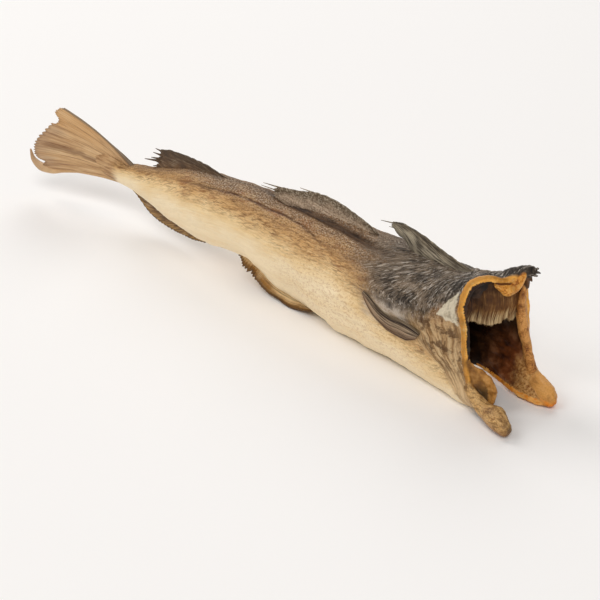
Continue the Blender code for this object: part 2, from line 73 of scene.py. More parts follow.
# How far the belly sags to the far side behind the gutted part: station, distance.
BELLY_SAG = ((-335, 0), (-300, 3), (-275, 6), (-255, 9), (-230, 12), (-205, 12), (-180, 8.5), (-150, 1), (-125, 0))
SQUARENESS = ((-450, 2.2, 2.2), (-300, 2.2, 2.3), (-205, 2.2, 2.7), (-95, 2.3, 3), (-40, 2.5, 3.6), (0, 3.6, 4.2))
NECK_CUT = ((0, 8), (0.08, 0), (0.12, -2), (0.18, -5), (0.22, -9), (0.24, -13), (0.26, -19), (0.3, -24),
            (0.38, -22), (0.44, -16), (0.5, -7), (0.56, 1), (0.6, 3), (0.64, 0), (0.68, -3), (0.72, -1),
            (0.745, 1), (0.76, 4), (0.78, 9), (0.82, 14), (0.88, 17), (0.94, 17), (1, 8))
NECK_CUT_FROM = -90.0
NECK_LEAN = ((0, -7.5), (30, -3.5), (65, 1.5), (110, 2.5))
TAIL_STALK_SWAY = 2.8
SWAY_FROM = -425.0
HOLLOW = ((-152, 31, 25, 3), (-140, 38, 16, 11), (-120, 47, 9, 18), (-80, 57, 5, 24), (-40, 61, 4, 24),
          (-14, 62, 4, 24), (-10, 98, 4, 24), (-4, 102.4, 4, 24), (30, 103, 4, 24))
SLIT = ((-52, 6), (-25, -10), (0, -20.5), (20, -24), (60, -24), (60, 12), (15, 10.5), (1, 12.2), (-11, 15.6),
        (-24, 18.5), (-38, 18.5))
SLIT_TOP = 20.0

# How thick the cut edge is: turn, radius.
RIM_SIZES = ((0.1, 3.5), (0.16, 3.2), (0.25, 2.8), (0.4, 2.7), (0.5, 3), (0.55, 2.9), (0.6, 2.3), (0.68, 2.2),
             (0.76, 2.6), (0.84, 3.3), (0.91, 3.6))
RIM_TURNS = (0.1, 0.91)
NEAR_LOBE = ((-8, -30, 20, 4), (2, -32.2, 13.2, 5.2), (12, -33.6, 9.4, 6.8), (21, -35.4, 9.6, 8.6),
             (28, -38, 8, 7.4), (33, -39.6, 6.4, 6))
FAR_LOBE = ((6, 26, 25, 3.5), (13, 24.5, 16, 5.5), (20, 22, 11, 7.5), (28, 19.5, 8.8, 8), (34, 17.5, 7.2, 6.4),
            (37.5, 16, 5.6, 4.4))
# The band of flesh inside the far edge.
FAR_FLESH = ((-2, 24, 90, 2), (-2.5, 22.8, 78, 3.2), (-1.5, 22.4, 66, 4), (1, 22.4, 54, 4.2), (5, 22.6, 42, 4),
             (9, 22.6, 30, 3.8), (13, 22.4, 20, 4.5))
# The thin hem of the far flap, which runs back from its lobe along the slit.
FAR_HEM = ((36, 15, 4.8, 3.4), (25, 10.8, 3.4, 2.7), (13, 10.3, 3.2, 2.1), (1, 12.2, 3.6, 1.9),
           (-11, 15.6, 4, 1.8), (-24, 18.8, 4.6, 1.8), (-36, 20.5, 6, 1.8))
TOP_FOLD = ((-9.4, -2.6, 97.4, 2.6), (-7, 1.6, 94.6, 4), (-4.6, 6.2, 91.6, 5.2), (-2.5, 10.5, 93.4, 4.6),
            (0, 14, 99, 3.4), (1.5, 15.5, 104, 2.6))
NAPE_TIP = ((-12, 11, 99.4, 4.4), (-3, 17.2, 102.8, 4.6), (2, 20.2, 105.4, 3.8), (5, 21.6, 106.6, 2.4))
# The torn end of the nape: short spikes of dried skin and flesh that fan out, start to end with a radius.
NAPE_SHREDS = (((0, 18, 106), (6.4, 20, 110.2), 2), ((1, 19.6, 106), (9.4, 21.8, 108.8), 1.9),
               ((2, 21, 104.4), (10.8, 22.6, 105.6), 1.9), ((1, 21, 102.8), (8.8, 22.8, 101.6), 2.2),
               ((0, 21.5, 101.5), (4, 23.4, 95.8), 3.2), ((-1, 22.5, 98), (1, 24.6, 88), 3.2))
CURL_EDGE = ((-10.5, -24.6, 38.2), (0, -23.6, 35), (7.6, -22.4, 29.2), (11.4, -21.6, 20), (10.6, -23, 10.5),
             (8, -26, 2.6))
CURL_ROOT = ((-18, -28.3, 39.4), (-14, -29, 29), (-9, -29.5, 21), (-4, -30.5, 14), (0, -31.5, 8.5),
             (4, -32.5, 2.6))
CURL_HOLLOW, CURL_THICKNESS = 5.0, 3.2
THIRD_TOP = ((-393.5, 91), (-384, 94), (-374, 94.6), (-354, 95.5), (-335, 94.5), (-318, 91.5), (-300, 88))
THIRD_FOOT = ((-405, 66), (-392, 68), (-375, 73), (-354, 78), (-335, 82), (-318, 84), (-300, 85))
THIRD_SPINES = (((-398, 0, 78.5), (-418.5, -1.8, 75.3), 1.5), ((-399, 0, 80.5), (-410, -0.8, 79), 1.3),
                ((-394, 0, 85), (-407, -0.4, 84.8), 1.3), ((-391, 0, 89), (-403.6, 0, 89.6), 1.3),
                ((-397, 0, 74), (-408, -1, 71), 1.2))
SECOND_TOP = ((-244, 99), (-239, 102.5), (-232, 104), (-222, 105.5), (-212, 107.5), (-199.4, 110.9), (-188, 111.5),
              (-173, 110.5), (-152, 106), (-138, 101.5), (-128, 97))
SECOND_FOOT = ((-243, 88), (-222, 88.5), (-200, 89), (-175, 90), (-150, 90.5), (-128, 91))
SECOND_SPINES = (((-236, 0, 102.4), (-259.5, 0, 100.4), 0.9), ((-238, 0, 98.5), (-262.6, 0, 97.2), 0.8),
                 ((-240, 0, 95), (-251, 0, 93.4), 0.8), ((-197, 0, 110.3), (-215.5, 0, 109.6), 0.8))
FIRST_TOP = ((-113, 112.5), (-107, 114.6), (-103.6, 115), (-94, 114), (-84.8, 112.1), (-72, 108.5), (-61.8, 105.6),
             (-52, 103), (-43.5, 100.6), (-34, 98.6))
FIRST_FOOT = ((-113.5, 109.2), (-107.5, 105.6), (-99, 101.6), (-93.5, 96), (-88, 90.5), (-75, 90), (-60, 90.5),
              (-43.5, 92), (-34, 94))
FIRST_SPINES = (((-101, 0, 113.8), (-126, 0, 110.2), 0.9), ((-105, 0, 109), (-117.5, 0, 107.6), 0.7))
REAR_BELLY_FIN = ((-440, 35), (-430, 26), (-417, 17.5), (-406, 14), (-390, 11), (-374, 10.5), (-356, 11),
                  (-338, 14))
REAR_BELLY_FOOT = ((-440, 40), (-425, 37.5), (-400, 31.5), (-370, 26), (-338, 22.5))
FRONT_BELLY_FIN = ((-286, -286, -6, 21.5), (-276, -275, -12, 19), (-266, -264, -14.5, 17),
                   (-258, -256, -14.5, 11.5), (-250, -248, -14.5, 6), (-240, -236, -15, 3.8),
                   (-229, -225, -15.5, 2.4), (-218, -214, -16, 2), (-208, -204, -15.5, 2.8),
                   (-199, -195, -15, 4.6), (-191, -187, -15.5, 7.5))
BREAST_LOWER = ((-60, 41.5), (-66, 38), (-72, 36.2), (-80, 36.4), (-89, 37.4), (-96, 40.4), (-104, 44.6),
                (-109.5, 50), (-113.5, 56), (-115.5, 60.5))
BREAST_UPPER = ((-57, 47.5), (-62, 49.5), (-68, 51.2), (-76, 52), (-84, 51.6), (-91, 52.2), (-98, 54.4),
                (-105, 58), (-110.5, 61.2), (-115, 63))
TAIL_BEND = math.radians(12.0)
TAIL_TIPS = ((111, 29), (109.5, 35.5), (105, 41), (113.5, 43), (118, 47.5), (118.3, 54), (114.3, 62.5), (104, 73),
             (93, 82.8), (86.4, 84.3), (84.4, 90.3), (88.5, 95.5), (83, 100.3), (76.5, 102.4))
TAIL_BOW_TOP, TAIL_BOW_FOOT = 5.0, 4.5
TAIL_HOOK = ((62, 38, 0.5), (84, 34.2, 1.6), (100, 31.2, 3.2), (112, 32.2, 4.4), (119, 34.9, 3.6),
             (124.2, 40, 2.3), (126, 48.5, 0.9))

# ---------------------------------------------------------------- what only the looks need
# The skin between the far flap and its hem.
WEB_OF_FLAP = ((10, 14, 7, 3.4), (17, 14.6, 7.4, 4.6), (25, 15, 6.6, 4.8), (32, 15.6, 5.6, 3.8))
VOXEL = 0.9
# The share of the cut edge's thickness that its round band has, and how deep its inward way is measured.
BAND, CUT_DEPTH = 0.83, 10.0
TRUNK_TRIANGLES = 268000
# How many steps lie between two stops of a limb where distances to it are measured.
LIMB_STEPS = 8
# The split in pieces: how near a limb the rim reaches, and where the inner face of the cut lies.
RIM_REACH, CUT_FACE_FROM, CUT_FACE_OUT = 0.35, -6.0, 0.972
# How the nape sags towards the cut: from where, how deep, how far off the middle and how wide.
DIP_FROM, DIP_DEPTH, DIP_Y, DIP_WIDTH = -20.0, 7.5, 5.0, 9.5
# The stalk thins out into the tail fin: distance behind it, half thickness, lower and upper height.
STALK_END = ((-8, 7.4, 38.4, 62.5), (0, 7.6, 38.4, 63.6), (4, 7.3, 38.6, 64.4), (9, 6.4, 39.2, 65.4),
             (15, 5, 40.4, 66), (22, 3.6, 42.2, 66), (31, 2.2, 45, 65), (42, 0.7, 49, 62))
# Where the skin's tone steps from cream to charcoal: station, then the turn of each of five tones.
TONE_TURNS = ((-450, 0.2, 0.29, 0.36, 0.5, 0.62), (-400, 0.22, 0.3, 0.39, 0.5, 0.6),
              (-300, 0.22, 0.288, 0.36, 0.44, 0.52), (-210, 0.25, 0.29, 0.36, 0.45, 0.53),
              (-150, 0.24, 0.295, 0.35, 0.44, 0.54), (-100, 0.19, 0.235, 0.275, 0.33, 0.46),
              (-48, 0.15, 0.2, 0.26, 0.31, 0.38), (0, 0.12, 0.18, 0.25, 0.3, 0.36))
LATERAL_LINE = ((-440, 0.4), (-380, 0.375), (-326, 0.385), (-294, 0.407), (-262, 0.416), (-225, 0.418),
                (-200, 0.409), (-171, 0.374), (-140, 0.341), (-80, 0.31))
FURROW = ((-270, 0.53), (-258, 0.524), (-229, 0.491), (-196, 0.475), (-164, 0.463), (-134, 0.448), (-105, 0.43),
          (-80, 0.415))
# How far behind the rim the collar's hindmost fold runs: turn, distance.
COLLAR = ((0.08, 6), (0.12, 8), (0.15, 12), (0.19, 17), (0.217, 22), (0.233, 33), (0.244, 45), (0.257, 52),
          (0.28, 57), (0.31, 56), (0.35, 48), (0.4, 38), (0.45, 30), (0.5, 26))
COLLAR_FOLDS = (0.3, 0.47, 0.63, 0.8, 1)


# ---------------------------------------------------------------- curves and noise
def through(knots, x, column=1):
    """A smooth curve through a few knots that doesn't overshoot them."""
    table = np.asarray(knots, float)
    places, values = table[:, 0], table[:, column]
    gaps = np.diff(places)
    slopes = np.diff(values) / gaps
    tangents = np.zeros(len(places))
    tangents[0], tangents[-1] = slopes[0], slopes[-1]
    same_way = slopes[:-1] * slopes[1:] > 0
    tangents[1:-1][same_way] = 2.0 / (1.0 / slopes[:-1][same_way] + 1.0 / slopes[1:][same_way])
    x = np.clip(x, places[0], places[-1])
    i = np.clip(np.searchsorted(places, x) - 1, 0, len(gaps) - 1)
    t = (x - places[i]) / gaps[i]
    rise = values[i] * (1 + 2 * t) * (1 - t) ** 2 + values[i + 1] * t * t * (3 - 2 * t)
    return rise + gaps[i] * (tangents[i] * t * (1 - t) ** 2 - tangents[i + 1] * t * t * (1 - t))


def ease(x, start, end):
    """0 before start, 1 after end and smooth between."""
    t = np.clip((x - start) / (end - start), 0.0, 1.0)
    return t * t * (3.0 - 2.0 * t)


def bell(x, width):
    return np.exp(-(x / width) ** 2)


def rounded(value, power):
    return np.sign(value) * np.abs(value) ** (2.0 / power)


def chance(x, y, z, seed):
    """A repeatable number from 0 to 1 for each whole-number place."""
    n = x * 73856093 ^ y * 19349663 ^ z * 83492791 ^ (seed + 1) * 2654435
    n = (n ^ (n >> 13)) & 0xFFFFFFFF
    n = (n * 1274126177) & 0xFFFFFFFF
    n = (n ^ (n >> 16)) & 0xFFFFFF
    return n / float(0xFFFFFF)


def noise(points, seed=0):
    """Smooth noise from -1 to 1 at points whose unit is one lattice cell."""
    cell = np.floor(points).astype(np.int64)
    f = points - cell
    f = f * f * f * (f * (f * 6 - 15) + 10)
    total = np.zeros(points.shape[:-1])
    for corner in range(8):
        step = (corner & 1, corner >> 1 & 1, corner >> 2 & 1)
        weight = 1.0
        for k in range(3):
            weight = weight * (f[..., k] if step[k] else 1 - f[..., k])
        total += weight * chance(*(cell[..., k] + step[k] for k in range(3)), seed)
    return total * 2 - 1


def layers(points, seed=0, octaves=3, gain=0.5):
    total, size = 0.0, 1.0
    for octave in range(octaves):
        total = total + size * noise(points * 2.0 ** octave, seed + 17 * octave)
        size *= gain
    return total


def vector(*parts):
    return np.stack(np.broadcast_arrays(*parts), axis=-1)


def values_at(table, x):
    """All the columns of a table at x."""
    return [through(table, x, column) for column in range(1, len(table[0]))]


def line_through(knots, places, u):
    """A smooth line through points, given how far along it each of them lies."""
    knots = np.asarray(knots, float)
    return np.stack([through(np.stack([places, knots[:, k]], 1), u) for k in range(knots.shape[1])], 1)


def margin(knots, u):
    """A smooth line through points spread evenly from 0 to 1."""
    return line_through(knots, np.linspace(0, 1, len(knots)), u)


def by_length(knots, u):
    """A smooth line through points, spread evenly by its length."""
    steps = np.linalg.norm(np.diff(np.asarray(knots, float), axis=0), axis=1)
    places = np.concatenate([[0.0], np.cumsum(steps)])
    return line_through(knots, places / places[-1], u)


# ---------------------------------------------------------------- the body's own coordinates
def lean(station, z):
    """How far the neck leans to one side."""
    return ease(station, NECK_CUT_FROM, 0.0) * through(NECK_LEAN, z)


def sway(station):
    """How far the tail stalk lies off the middle."""
    behind = np.clip((SWAY_FROM - station) / (SWAY_FROM - BODY[0][0]), 0.0, 1.0)
    return -TAIL_STALK_SWAY * behind ** 2


def sag(station, z, top, low):
    """How far the belly lies over to the far side."""
    up = np.clip((z - low) / (top - low), 0.0, 1.0)
    return through(BELLY_SAG, station) * (1 - up) ** 2


def squareness(station, high):
    """How square the section is, in its upper or its lower half."""
    return np.where(high, through(SQUARENESS, station, 1), through(SQUARENESS, station, 2))


def section(station, turn, top, low, half):
    """Points of the body's section, or of the hollow's, at each station and turn."""
    up, side = -np.cos(2 * math.pi * turn), np.sin(2 * math.pi * turn)
    power = squareness(station, up > 0)
    y = -half * rounded(side, power)
    z = (top + low) / 2 + (top - low) / 2 * rounded(up, power)
    x = station + ease(station, NECK_CUT_FROM, 0.0) * through(NECK_CUT, turn)
    return vector(x, y + lean(station, z) + sway(station) + sag(station, z, top, low), z)


def dip(station, y, z):
    """How far the nape sags where it rounds over to the thick fold in the cut edge."""
    return DIP_DEPTH * ease(station, DIP_FROM, 0.0) * ease(z, 78.0, 96.0) * bell(y - DIP_Y, DIP_WIDTH)


def dipped(points, station):
    points[..., 2] -= dip(station, points[..., 1], points[..., 2])
    return points


def skin(station, turn, inset=0.0):
    """Points of the skin, or of a surface inset from it."""
    station, turn = np.broadcast_arrays(np.asarray(station, float), np.asarray(turn, float))
    top, low, half = values_at(BODY, station)
    points = dipped(section(station, turn, top - inset, low + inset, half - inset), station)
    points[..., 2] = np.maximum(points[..., 2], 0.0)
    return points


def unwrap(points):
    """Station, turn and share of the way out to the skin, for points of the trunk."""
    x, y, low_z = points.T
    station, z = x.copy(), low_z.copy()
    for _ in range(7):
        station = np.clip(station, BODY[0][0], 0.0)
        z = low_z + dip(station, y, z)
        top, low, half = values_at(BODY, station)
        across = (y - lean(station, z) - sway(station) - sag(station, z, top, low)) / half
        up = (z - (top + low) / 2) / ((top - low) / 2)
        power = squareness(station, up > 0)
        a = np.sign(across) * np.abs(across) ** (power / 2)
        b = np.sign(up) * np.abs(up) ** (power / 2)
        turn = (np.arctan2(-a, -b) / (2 * math.pi)) % 1.0
        ahead = x - ease(station, NECK_CUT_FROM, 0.0) * through(NECK_CUT, turn)
        station = ahead
    return ahead, turn, np.hypot(a, b) ** (2 / power)


def flank_y(x, z):
    """How far off the middle the near flank lies."""
    top, low, half = values_at(BODY, x)
    level, reach = (top + low) / 2, (top - low) / 2
    power = squareness(x, z > level)
    share = np.clip(np.abs(z - level) / reach, 0.0, 1.0)
    return -half * (1 - share ** power) ** (1 / power) + lean(x, z)


ARC_STATIONS = np.linspace(BODY[0][0], 0.0, 61)
ARC_TURNS = np.linspace(0.0, 1.0, 257)


def arc_table():
    """Distance round the skin from the back, for each of some stations and turns."""
    rings = skin(ARC_STATIONS[:, None], ARC_TURNS[None, :])
    steps = np.linalg.norm(np.diff(rings[..., 1:], axis=1), axis=-1)
    along = np.concatenate([np.zeros((len(rings), 1)), np.cumsum(steps, axis=1)], axis=1)
    return along - along[:, [len(ARC_TURNS) // 2]]


def arc_of(station, turn, table):
    """Distance round the skin from the back, negative on the near side."""
    i = (np.clip(station, ARC_STATIONS[0], 0.0) - ARC_STATIONS[0]) / (ARC_STATIONS[1] - ARC_STATIONS[0])
    j = turn * (len(ARC_TURNS) - 1)
    i0 = np.minimum(i.astype(int), len(ARC_STATIONS) - 2)
    j0 = np.minimum(j.astype(int), len(ARC_TURNS) - 2)
    a, b = i - i0, j - j0
    return ((1 - a) * (1 - b) * table[i0, j0] + a * (1 - b) * table[i0 + 1, j0]
            + (1 - a) * b * table[i0, j0 + 1] + a * b * table[i0 + 1, j0 + 1])


# ---------------------------------------------------------------- meshes
def placed(name, data):
    """A new object of the scene."""
    made = bpy.data.objects.new(name, data)
    bpy.context.scene.collection.objects.link(made)
    return made


def add_mesh(name, vertices, faces):
    """An object from points in millimetres, put in the shared frame."""
    points = (np.asarray(vertices, float) - (MIDDLE_X, MIDDLE_Y, 0.0)) * MM
    mesh = bpy.data.meshes.new(name)
    mesh.from_pydata(points.tolist(), [], faces)
    made = placed(name, mesh)
    shell = bmesh.new()
    shell.from_mesh(mesh)
    bmesh.ops.recalc_face_normals(shell, faces=shell.faces)
    shell.to_mesh(mesh)
    shell.free()
    return made


def rows_of(values, key):
    """Three numbers for each of some points."""
    flat = np.zeros(len(values) * 3, np.float32)
    values.foreach_get(key, flat)
    return flat.reshape(-1, 3).astype(float)


def places_of(made):
    """An object's points in millimetres in the modelling frame."""
    return rows_of(made.data.vertices, "co") / MM + (MIDDLE_X, MIDDLE_Y, 0.0)


def put_places(made, points):
    flat = (points - (MIDDLE_X, MIDDLE_Y, 0.0)) * MM
    made.data.vertices.foreach_set("co", flat.astype(np.float32).ravel())
    made.data.update()


def normals_of(made):
    return rows_of(made.data.vertex_normals, "vector")


def put_field(made, name, values):
    """A named vector for each point, which the materials read."""
    made.data.attributes.new(name, "FLOAT_VECTOR", "POINT")
    made.data.attributes[name].data.foreach_set("vector", values.astype(np.float32).ravel())


def get_field(made, name):
    return rows_of(made.data.attributes[name].data, "vector")


def loft_parts(rings):
    """Points and faces of a closed skin over rings of as many points each."""
    count, sides = rings.shape[:2]
    vertices = np.concatenate([rings.reshape(-1, 3), rings[:1].mean(axis=1), rings[-1:].mean(axis=1)])
    i, j = np.meshgrid(np.arange(count - 1), np.arange(sides), indexing="ij")
    k = (j + 1) % sides
    quads = np.stack([i * sides + j, i * sides + k, (i + 1) * sides + k, (i + 1) * sides + j], -1)
    faces = quads.reshape(-1, 4).tolist()
    for j in range(sides):
        k = (j + 1) % sides
        faces.append((count * sides, k, j))
        faces.append((count * sides + 1, (count - 1) * sides + j, (count - 1) * sides + k))
    return vertices, faces


def rope_parts(stops, sides=16, between=6):
    """Points and faces of a round limb through stops of x, y, z and radius, with rounded ends."""
    centre, radius = rope_path(stops, between)
    ahead = np.gradient(centre, axis=0)
    ahead /= np.linalg.norm(ahead, axis=1)[:, None]
    caps = ((0.85, 0.35), (0.62, 0.7), (0.34, 0.9))
    first = [(centre[0] - ahead[0] * radius[0] * c[0], radius[0] * c[1]) for c in caps]
    last = [(centre[-1] + ahead[-1] * radius[-1] * c[0], radius[-1] * c[1]) for c in reversed(caps)]
    joints = first + list(zip(centre, radius)) + last
    ways = [ahead[0]] * len(caps) + list(ahead) + [ahead[-1]] * len(caps)
    across = np.cross(ways[0], (0.0, 0.0, 1.0))
    if np.linalg.norm(across) < 0.2:
        across = np.cross(ways[0], (0.0, 1.0, 0.0))
    angles = np.arange(sides) * 2 * math.pi / sides
    rings = []
    for (middle, size), way in zip(joints, ways):
        across = across - way * np.dot(across, way)
        across /= np.linalg.norm(across)
        over = np.cross(way, across)
        rings.append(middle + size * (np.cos(angles)[:, None] * across + np.sin(angles)[:, None] * over))
    return loft_parts(np.array(rings))


def rope_path(stops, between=6):
    """Middle and radius all along a limb."""
    last = len(stops) - 1
    path = line_through(stops, np.arange(last + 1.0), np.linspace(0, last, last * between + 1))
    return path[:, :3], path[:, 3]


def sheet_parts(middle, thickness):
    """Points and faces of a closed thin solid round a grid of points."""
    rows, columns = middle.shape[:2]
    normal = np.cross(np.gradient(middle, axis=0), np.gradient(middle, axis=1))
    normal /= np.linalg.norm(normal, axis=-1)[..., None] + 1e-9
    half = normal * (np.broadcast_to(thickness, middle.shape[:2]) / 2)[..., None]
    vertices = np.concatenate([(middle + half).reshape(-1, 3), (middle - half).reshape(-1, 3)])
    size = rows * columns
    i, j = np.meshgrid(np.arange(rows - 1), np.arange(columns - 1), indexing="ij")
    a = i * columns + j
    top = np.stack([a, a + columns, a + columns + 1, a + 1], -1).reshape(-1, 4)
    faces = top.tolist() + (top + size)[:, ::-1].tolist()
    edge = [(i, 0) for i in range(rows)] + [(rows - 1, j) for j in range(1, columns)]
    edge += [(i, columns - 1) for i in range(rows - 2, -1, -1)] + [(0, j) for j in range(columns - 2, 0, -1)]
    flat = [i * columns + j for i, j in edge]
    for a, b in zip(flat, flat[1:] + flat[:1]):
        faces.append((a, b, b + size, a + size))
    return vertices, faces


def joined(parts):
    """Several closed skins as one list of points and one of faces."""
    vertices, faces, base = [], [], 0
    for points, its_faces in parts:
        vertices.append(points)
        faces += [tuple(base + i for i in face) for face in its_faces]
        base += len(points)
    return np.concatenate(vertices), faces


def apply_step(made, kind, **settings):
    """Adds one modifier, keeps its result as the object's mesh and takes the modifier off."""
    step = made.modifiers.new(kind, kind)
    for key, value in settings.items():
        setattr(step, key, value)
    graph = bpy.context.evaluated_depsgraph_get()
    result = bpy.data.meshes.new_from_object(made.evaluated_get(graph))
    old = made.data
    made.modifiers.clear()
    made.data = result
    bpy.data.meshes.remove(old)


# ---------------------------------------------------------------- the trunk
def inward_at(turns):
    """The way inward from the skin at the cut."""
    return (skin(-1.0, turns, inset=CUT_DEPTH) - skin(-1.0, turns)) / CUT_DEPTH


def rim_stops():
    """The band of the cut edge, from the near flap over the nape to the far flap."""
    turns = np.linspace(*RIM_TURNS, 61)
    radius = through(RIM_SIZES, turns)
    points = skin(-1.0, turns) + inward_at(turns) * (radius * 0.78)[:, None]
    return np.concatenate([points, radius[:, None] * BAND], axis=1)


def stalk_end_parts(sides=48):
    """The wedge in which the stalk runs out into the tail fin."""
    rings = []
    for behind in np.linspace(-8.0, 42.0, 26):
        half, low, high = values_at(STALK_END, behind)
        angle = np.arange(sides) * 2 * math.pi / sides
        off = half * rounded(np.cos(angle), 2.2)
        z = (low + high) / 2 + (high - low) / 2 * rounded(np.sin(angle), 2.2)
        rings.append(tail_point(behind, z, off))
    return loft_parts(np.array(rings))


def curl_parts(rows=41, columns=17):
    """The leaf of belly wall that curls up inside the near flap."""
    u = np.linspace(0, 1, rows)
    share = np.linspace(0, 1, columns)[None, :, None]
    root, edge = margin(CURL_ROOT, u)[:, None, :], margin(CURL_EDGE, u)[:, None, :]
    middle = root + share * (edge - root)
    middle[..., 0] -= CURL_HOLLOW * np.sin(np.pi * share[..., 0]) * np.sin(np.pi * u)[:, None]
    return sheet_parts(middle, CURL_THICKNESS)


def trunk():
    """Body, hollow, slit, rim and flaps as one blended skin."""
    stations = np.concatenate([np.linspace(-450, -96, 110), np.linspace(-93, 0, 44)])
    turns = np.arange(160) / 160
    made = add_mesh("trunk", *loft_parts(skin(stations[:, None], turns[None, :])))
    stations = np.concatenate([np.linspace(-152, -20, 50), np.linspace(-18, 30, 33)])
    station, turn = np.meshgrid(stations, np.arange(96) / 96, indexing="ij")
    roof, floor, half = values_at(HOLLOW, station)
    cutters = bpy.data.collections.new("cutters")
    bpy.context.scene.collection.children.link(cutters)
    slit = np.array([[(x, y, z) for x, y in SLIT] for z in (-5.0, SLIT_TOP)])
    cavity = dipped(section(station, turn, roof, floor, half), station)
    for name, rings in (("hollow", cavity), ("slit", slit)):
        cutter = add_mesh(name, *loft_parts(rings))
        bpy.context.scene.collection.objects.unlink(cutter)
        cutters.objects.link(cutter)
    apply_step(made, "BOOLEAN", operation="DIFFERENCE", solver="EXACT",
               operand_type="COLLECTION", collection=cutters)
    for cutter in list(cutters.objects):
        bpy.data.objects.remove(cutter, do_unlink=True)
    bpy.data.collections.remove(cutters)
    limbs = [rope_parts(stops) for stops in (rim_stops(), NEAR_LOBE, FAR_LOBE, FAR_FLESH, FAR_HEM, TOP_FOLD,
                                             NAPE_TIP)]
    limbs += [spine_parts(start, end, radius) for start, end, radius in NAPE_SHREDS]
    limbs += [curl_parts(), stalk_end_parts(), rope_parts(WEB_OF_FLAP)]
    body_faces = [tuple(face.vertices) for face in made.data.polygons]
    whole = joined([(places_of(made), body_faces)] + limbs)
    bpy.data.objects.remove(made, do_unlink=True)
    made = add_mesh("trunk", *whole)
    apply_step(made, "REMESH", mode="VOXEL", voxel_size=VOXEL * MM)
    apply_step(made, "SMOOTH", factor=0.5, iterations=4)
    return made


def gap_to(points, stops):
    """How far points lie outside a limb, and the number of the nearest place along it."""
    centre, radius = rope_path(stops, LIMB_STEPS)
    gap, along = np.full(len(points), 99.0), np.zeros(len(points), int)
    near = np.flatnonzero(points[:, 0] > -60.0)
    for some in np.array_split(near, max(1, len(near) // 12000)):
        far = np.linalg.norm(points[some][:, None, :] - centre[None], axis=2) - radius
        best = far.argmin(axis=1)
        gap[some] = far[np.arange(len(some)), best]
        along[some] = best
    return gap, along


def slit_gap(points):
    """How far points lie from the walls of the belly slit, seen from above."""
    gap = np.full(len(points), 99.0)
    flat = points[:, :2]
    for a, b in zip(SLIT, SLIT[1:] + SLIT[:1]):
        a, b = np.asarray(a), np.asarray(b)
        t = np.clip(((flat - a) @ (b - a)) / ((b - a) @ (b - a)), 0.0, 1.0)
        gap = np.minimum(gap, np.linalg.norm(flat - a - t[:, None] * (b - a), axis=1))
    return gap


def ring_of(points, stops, nearest):
    """Places on the cut edge: distance round the band, distance along it, and share inward."""
    centre, radius = rope_path(stops, LIMB_STEPS)
    inward = inward_at(np.linspace(*RIM_TURNS, len(centre)))
    inward /= np.linalg.norm(inward, axis=1)[:, None]
    ahead = np.gradient(centre, axis=0)
    steps = np.linalg.norm(ahead, axis=1)
    over = np.cross(ahead / steps[:, None], inward)
    offset = points - centre[nearest]
    deep, up = (offset * inward[nearest]).sum(axis=1), (offset * over[nearest]).sum(axis=1)
    return vector(np.arctan2(up, deep) * radius[nearest], np.cumsum(steps)[nearest], deep / radius[nearest])


def relief_of(points, station, turn, arc, line, furrow, kappa, gaps):
    """How far each point of the trunk moves out along its normal, and its fine part."""
    side = np.minimum(turn, 1 - turn)
    rim, lobes, inside = gaps
    bare = ease(rim, 0.4, 2.5) * ease(lobes, 0.4, 3.0)
    outside = bare * (1 - inside)
    far_side = np.where(turn > 0.5, 40.0, 0.0)
    flow = vector(station, arc, far_side)
    broad = 1.1 * layers(points / 34.0, 3) + 0.35 * layers(points / 11.0, 5, 2)
    ridges = 0.42 * layers(flow * (1 / 46.0, 1 / 6.5, 1.0), 11) * ease(side, 0.06, 0.16)
    wrinkled = ease(station, -125.0, -60.0) * ease(side, 0.225, 0.29)
    fold_flow = vector(kappa * 40.0, arc, far_side)
    wrinkles = 0.60 * (0.5 - np.abs(layers(fold_flow * (1 / 2.3, 1 / 8.5, 1.0), 23, 3)))
    wrinkles = wrinkles + 0.22 * layers(fold_flow * (1 / 1.3, 1 / 2.2, 1.0), 29, 2)
    collar = np.zeros(len(points))
    sway_of_folds = 0.07 * noise(fold_flow * (0.0, 1 / 16.0, 1.0), 31)
    for n, place in enumerate(COLLAR_FOLDS):
        height = 0.8 + 0.5 * noise(vector(arc / 14.0, n * 3.0, far_side), 37)
        collar += height * bell(kappa - place - sway_of_folds, 0.055)
    collar *= ease(side, 0.10, 0.15) * (1 - 0.65 * ease(side, 0.30, 0.38))
    lines = -0.55 * bell(line, 1.1) * ease(station, -400.0, -340.0) * (1 - ease(station, -185.0, -155.0))
    groove_along = ease(station, -262.0, -225.0) * (1 - ease(station, -135.0, -85.0))
    groove = -2.8 * bell(furrow, 3.4) * groove_along + 1.2 * bell(furrow - 7.0, 4.0) * groove_along
    fine = 0.16 * layers(flow * (1 / 5.0, 1 / 1.6, 1.0), 41, 2) + 0.10 * layers(points / 1.7, 43, 2)
    skin_relief = (broad + ridges + lines + groove + wrinkled * wrinkles + 1.7 * collar + fine)
    lump = 0.36 * layers(points / 7.0, 51, 2) + 0.16 * layers(points / 2.0, 53, 2)
    knobs = 0.9 * (0.35 - np.abs(layers(points / (15.0, 8.0, 8.0), 61, 2))) + 0.24 * layers(points / 2.4, 63, 2)
    membrane = 0.9 * layers(points / 10.0, 71, 3) + 0.35 * layers(points * (1 / 16.0, 1 / 3.0, 1 / 3.0), 73)
    at_rim, at_lobes = 1 - ease(rim, 0.3, 1.6), 1 - ease(lobes, 0.3, 1.8)
    total = outside * skin_relief + inside * bare * membrane
    total = total + at_rim * (1 - at_lobes) * lump + at_lobes * knobs
    fine_part = outside * (fine + wrinkled * wrinkles + 0.5 * collar + lines) + at_rim * lump + at_lobes * knobs
    return total, fine_part


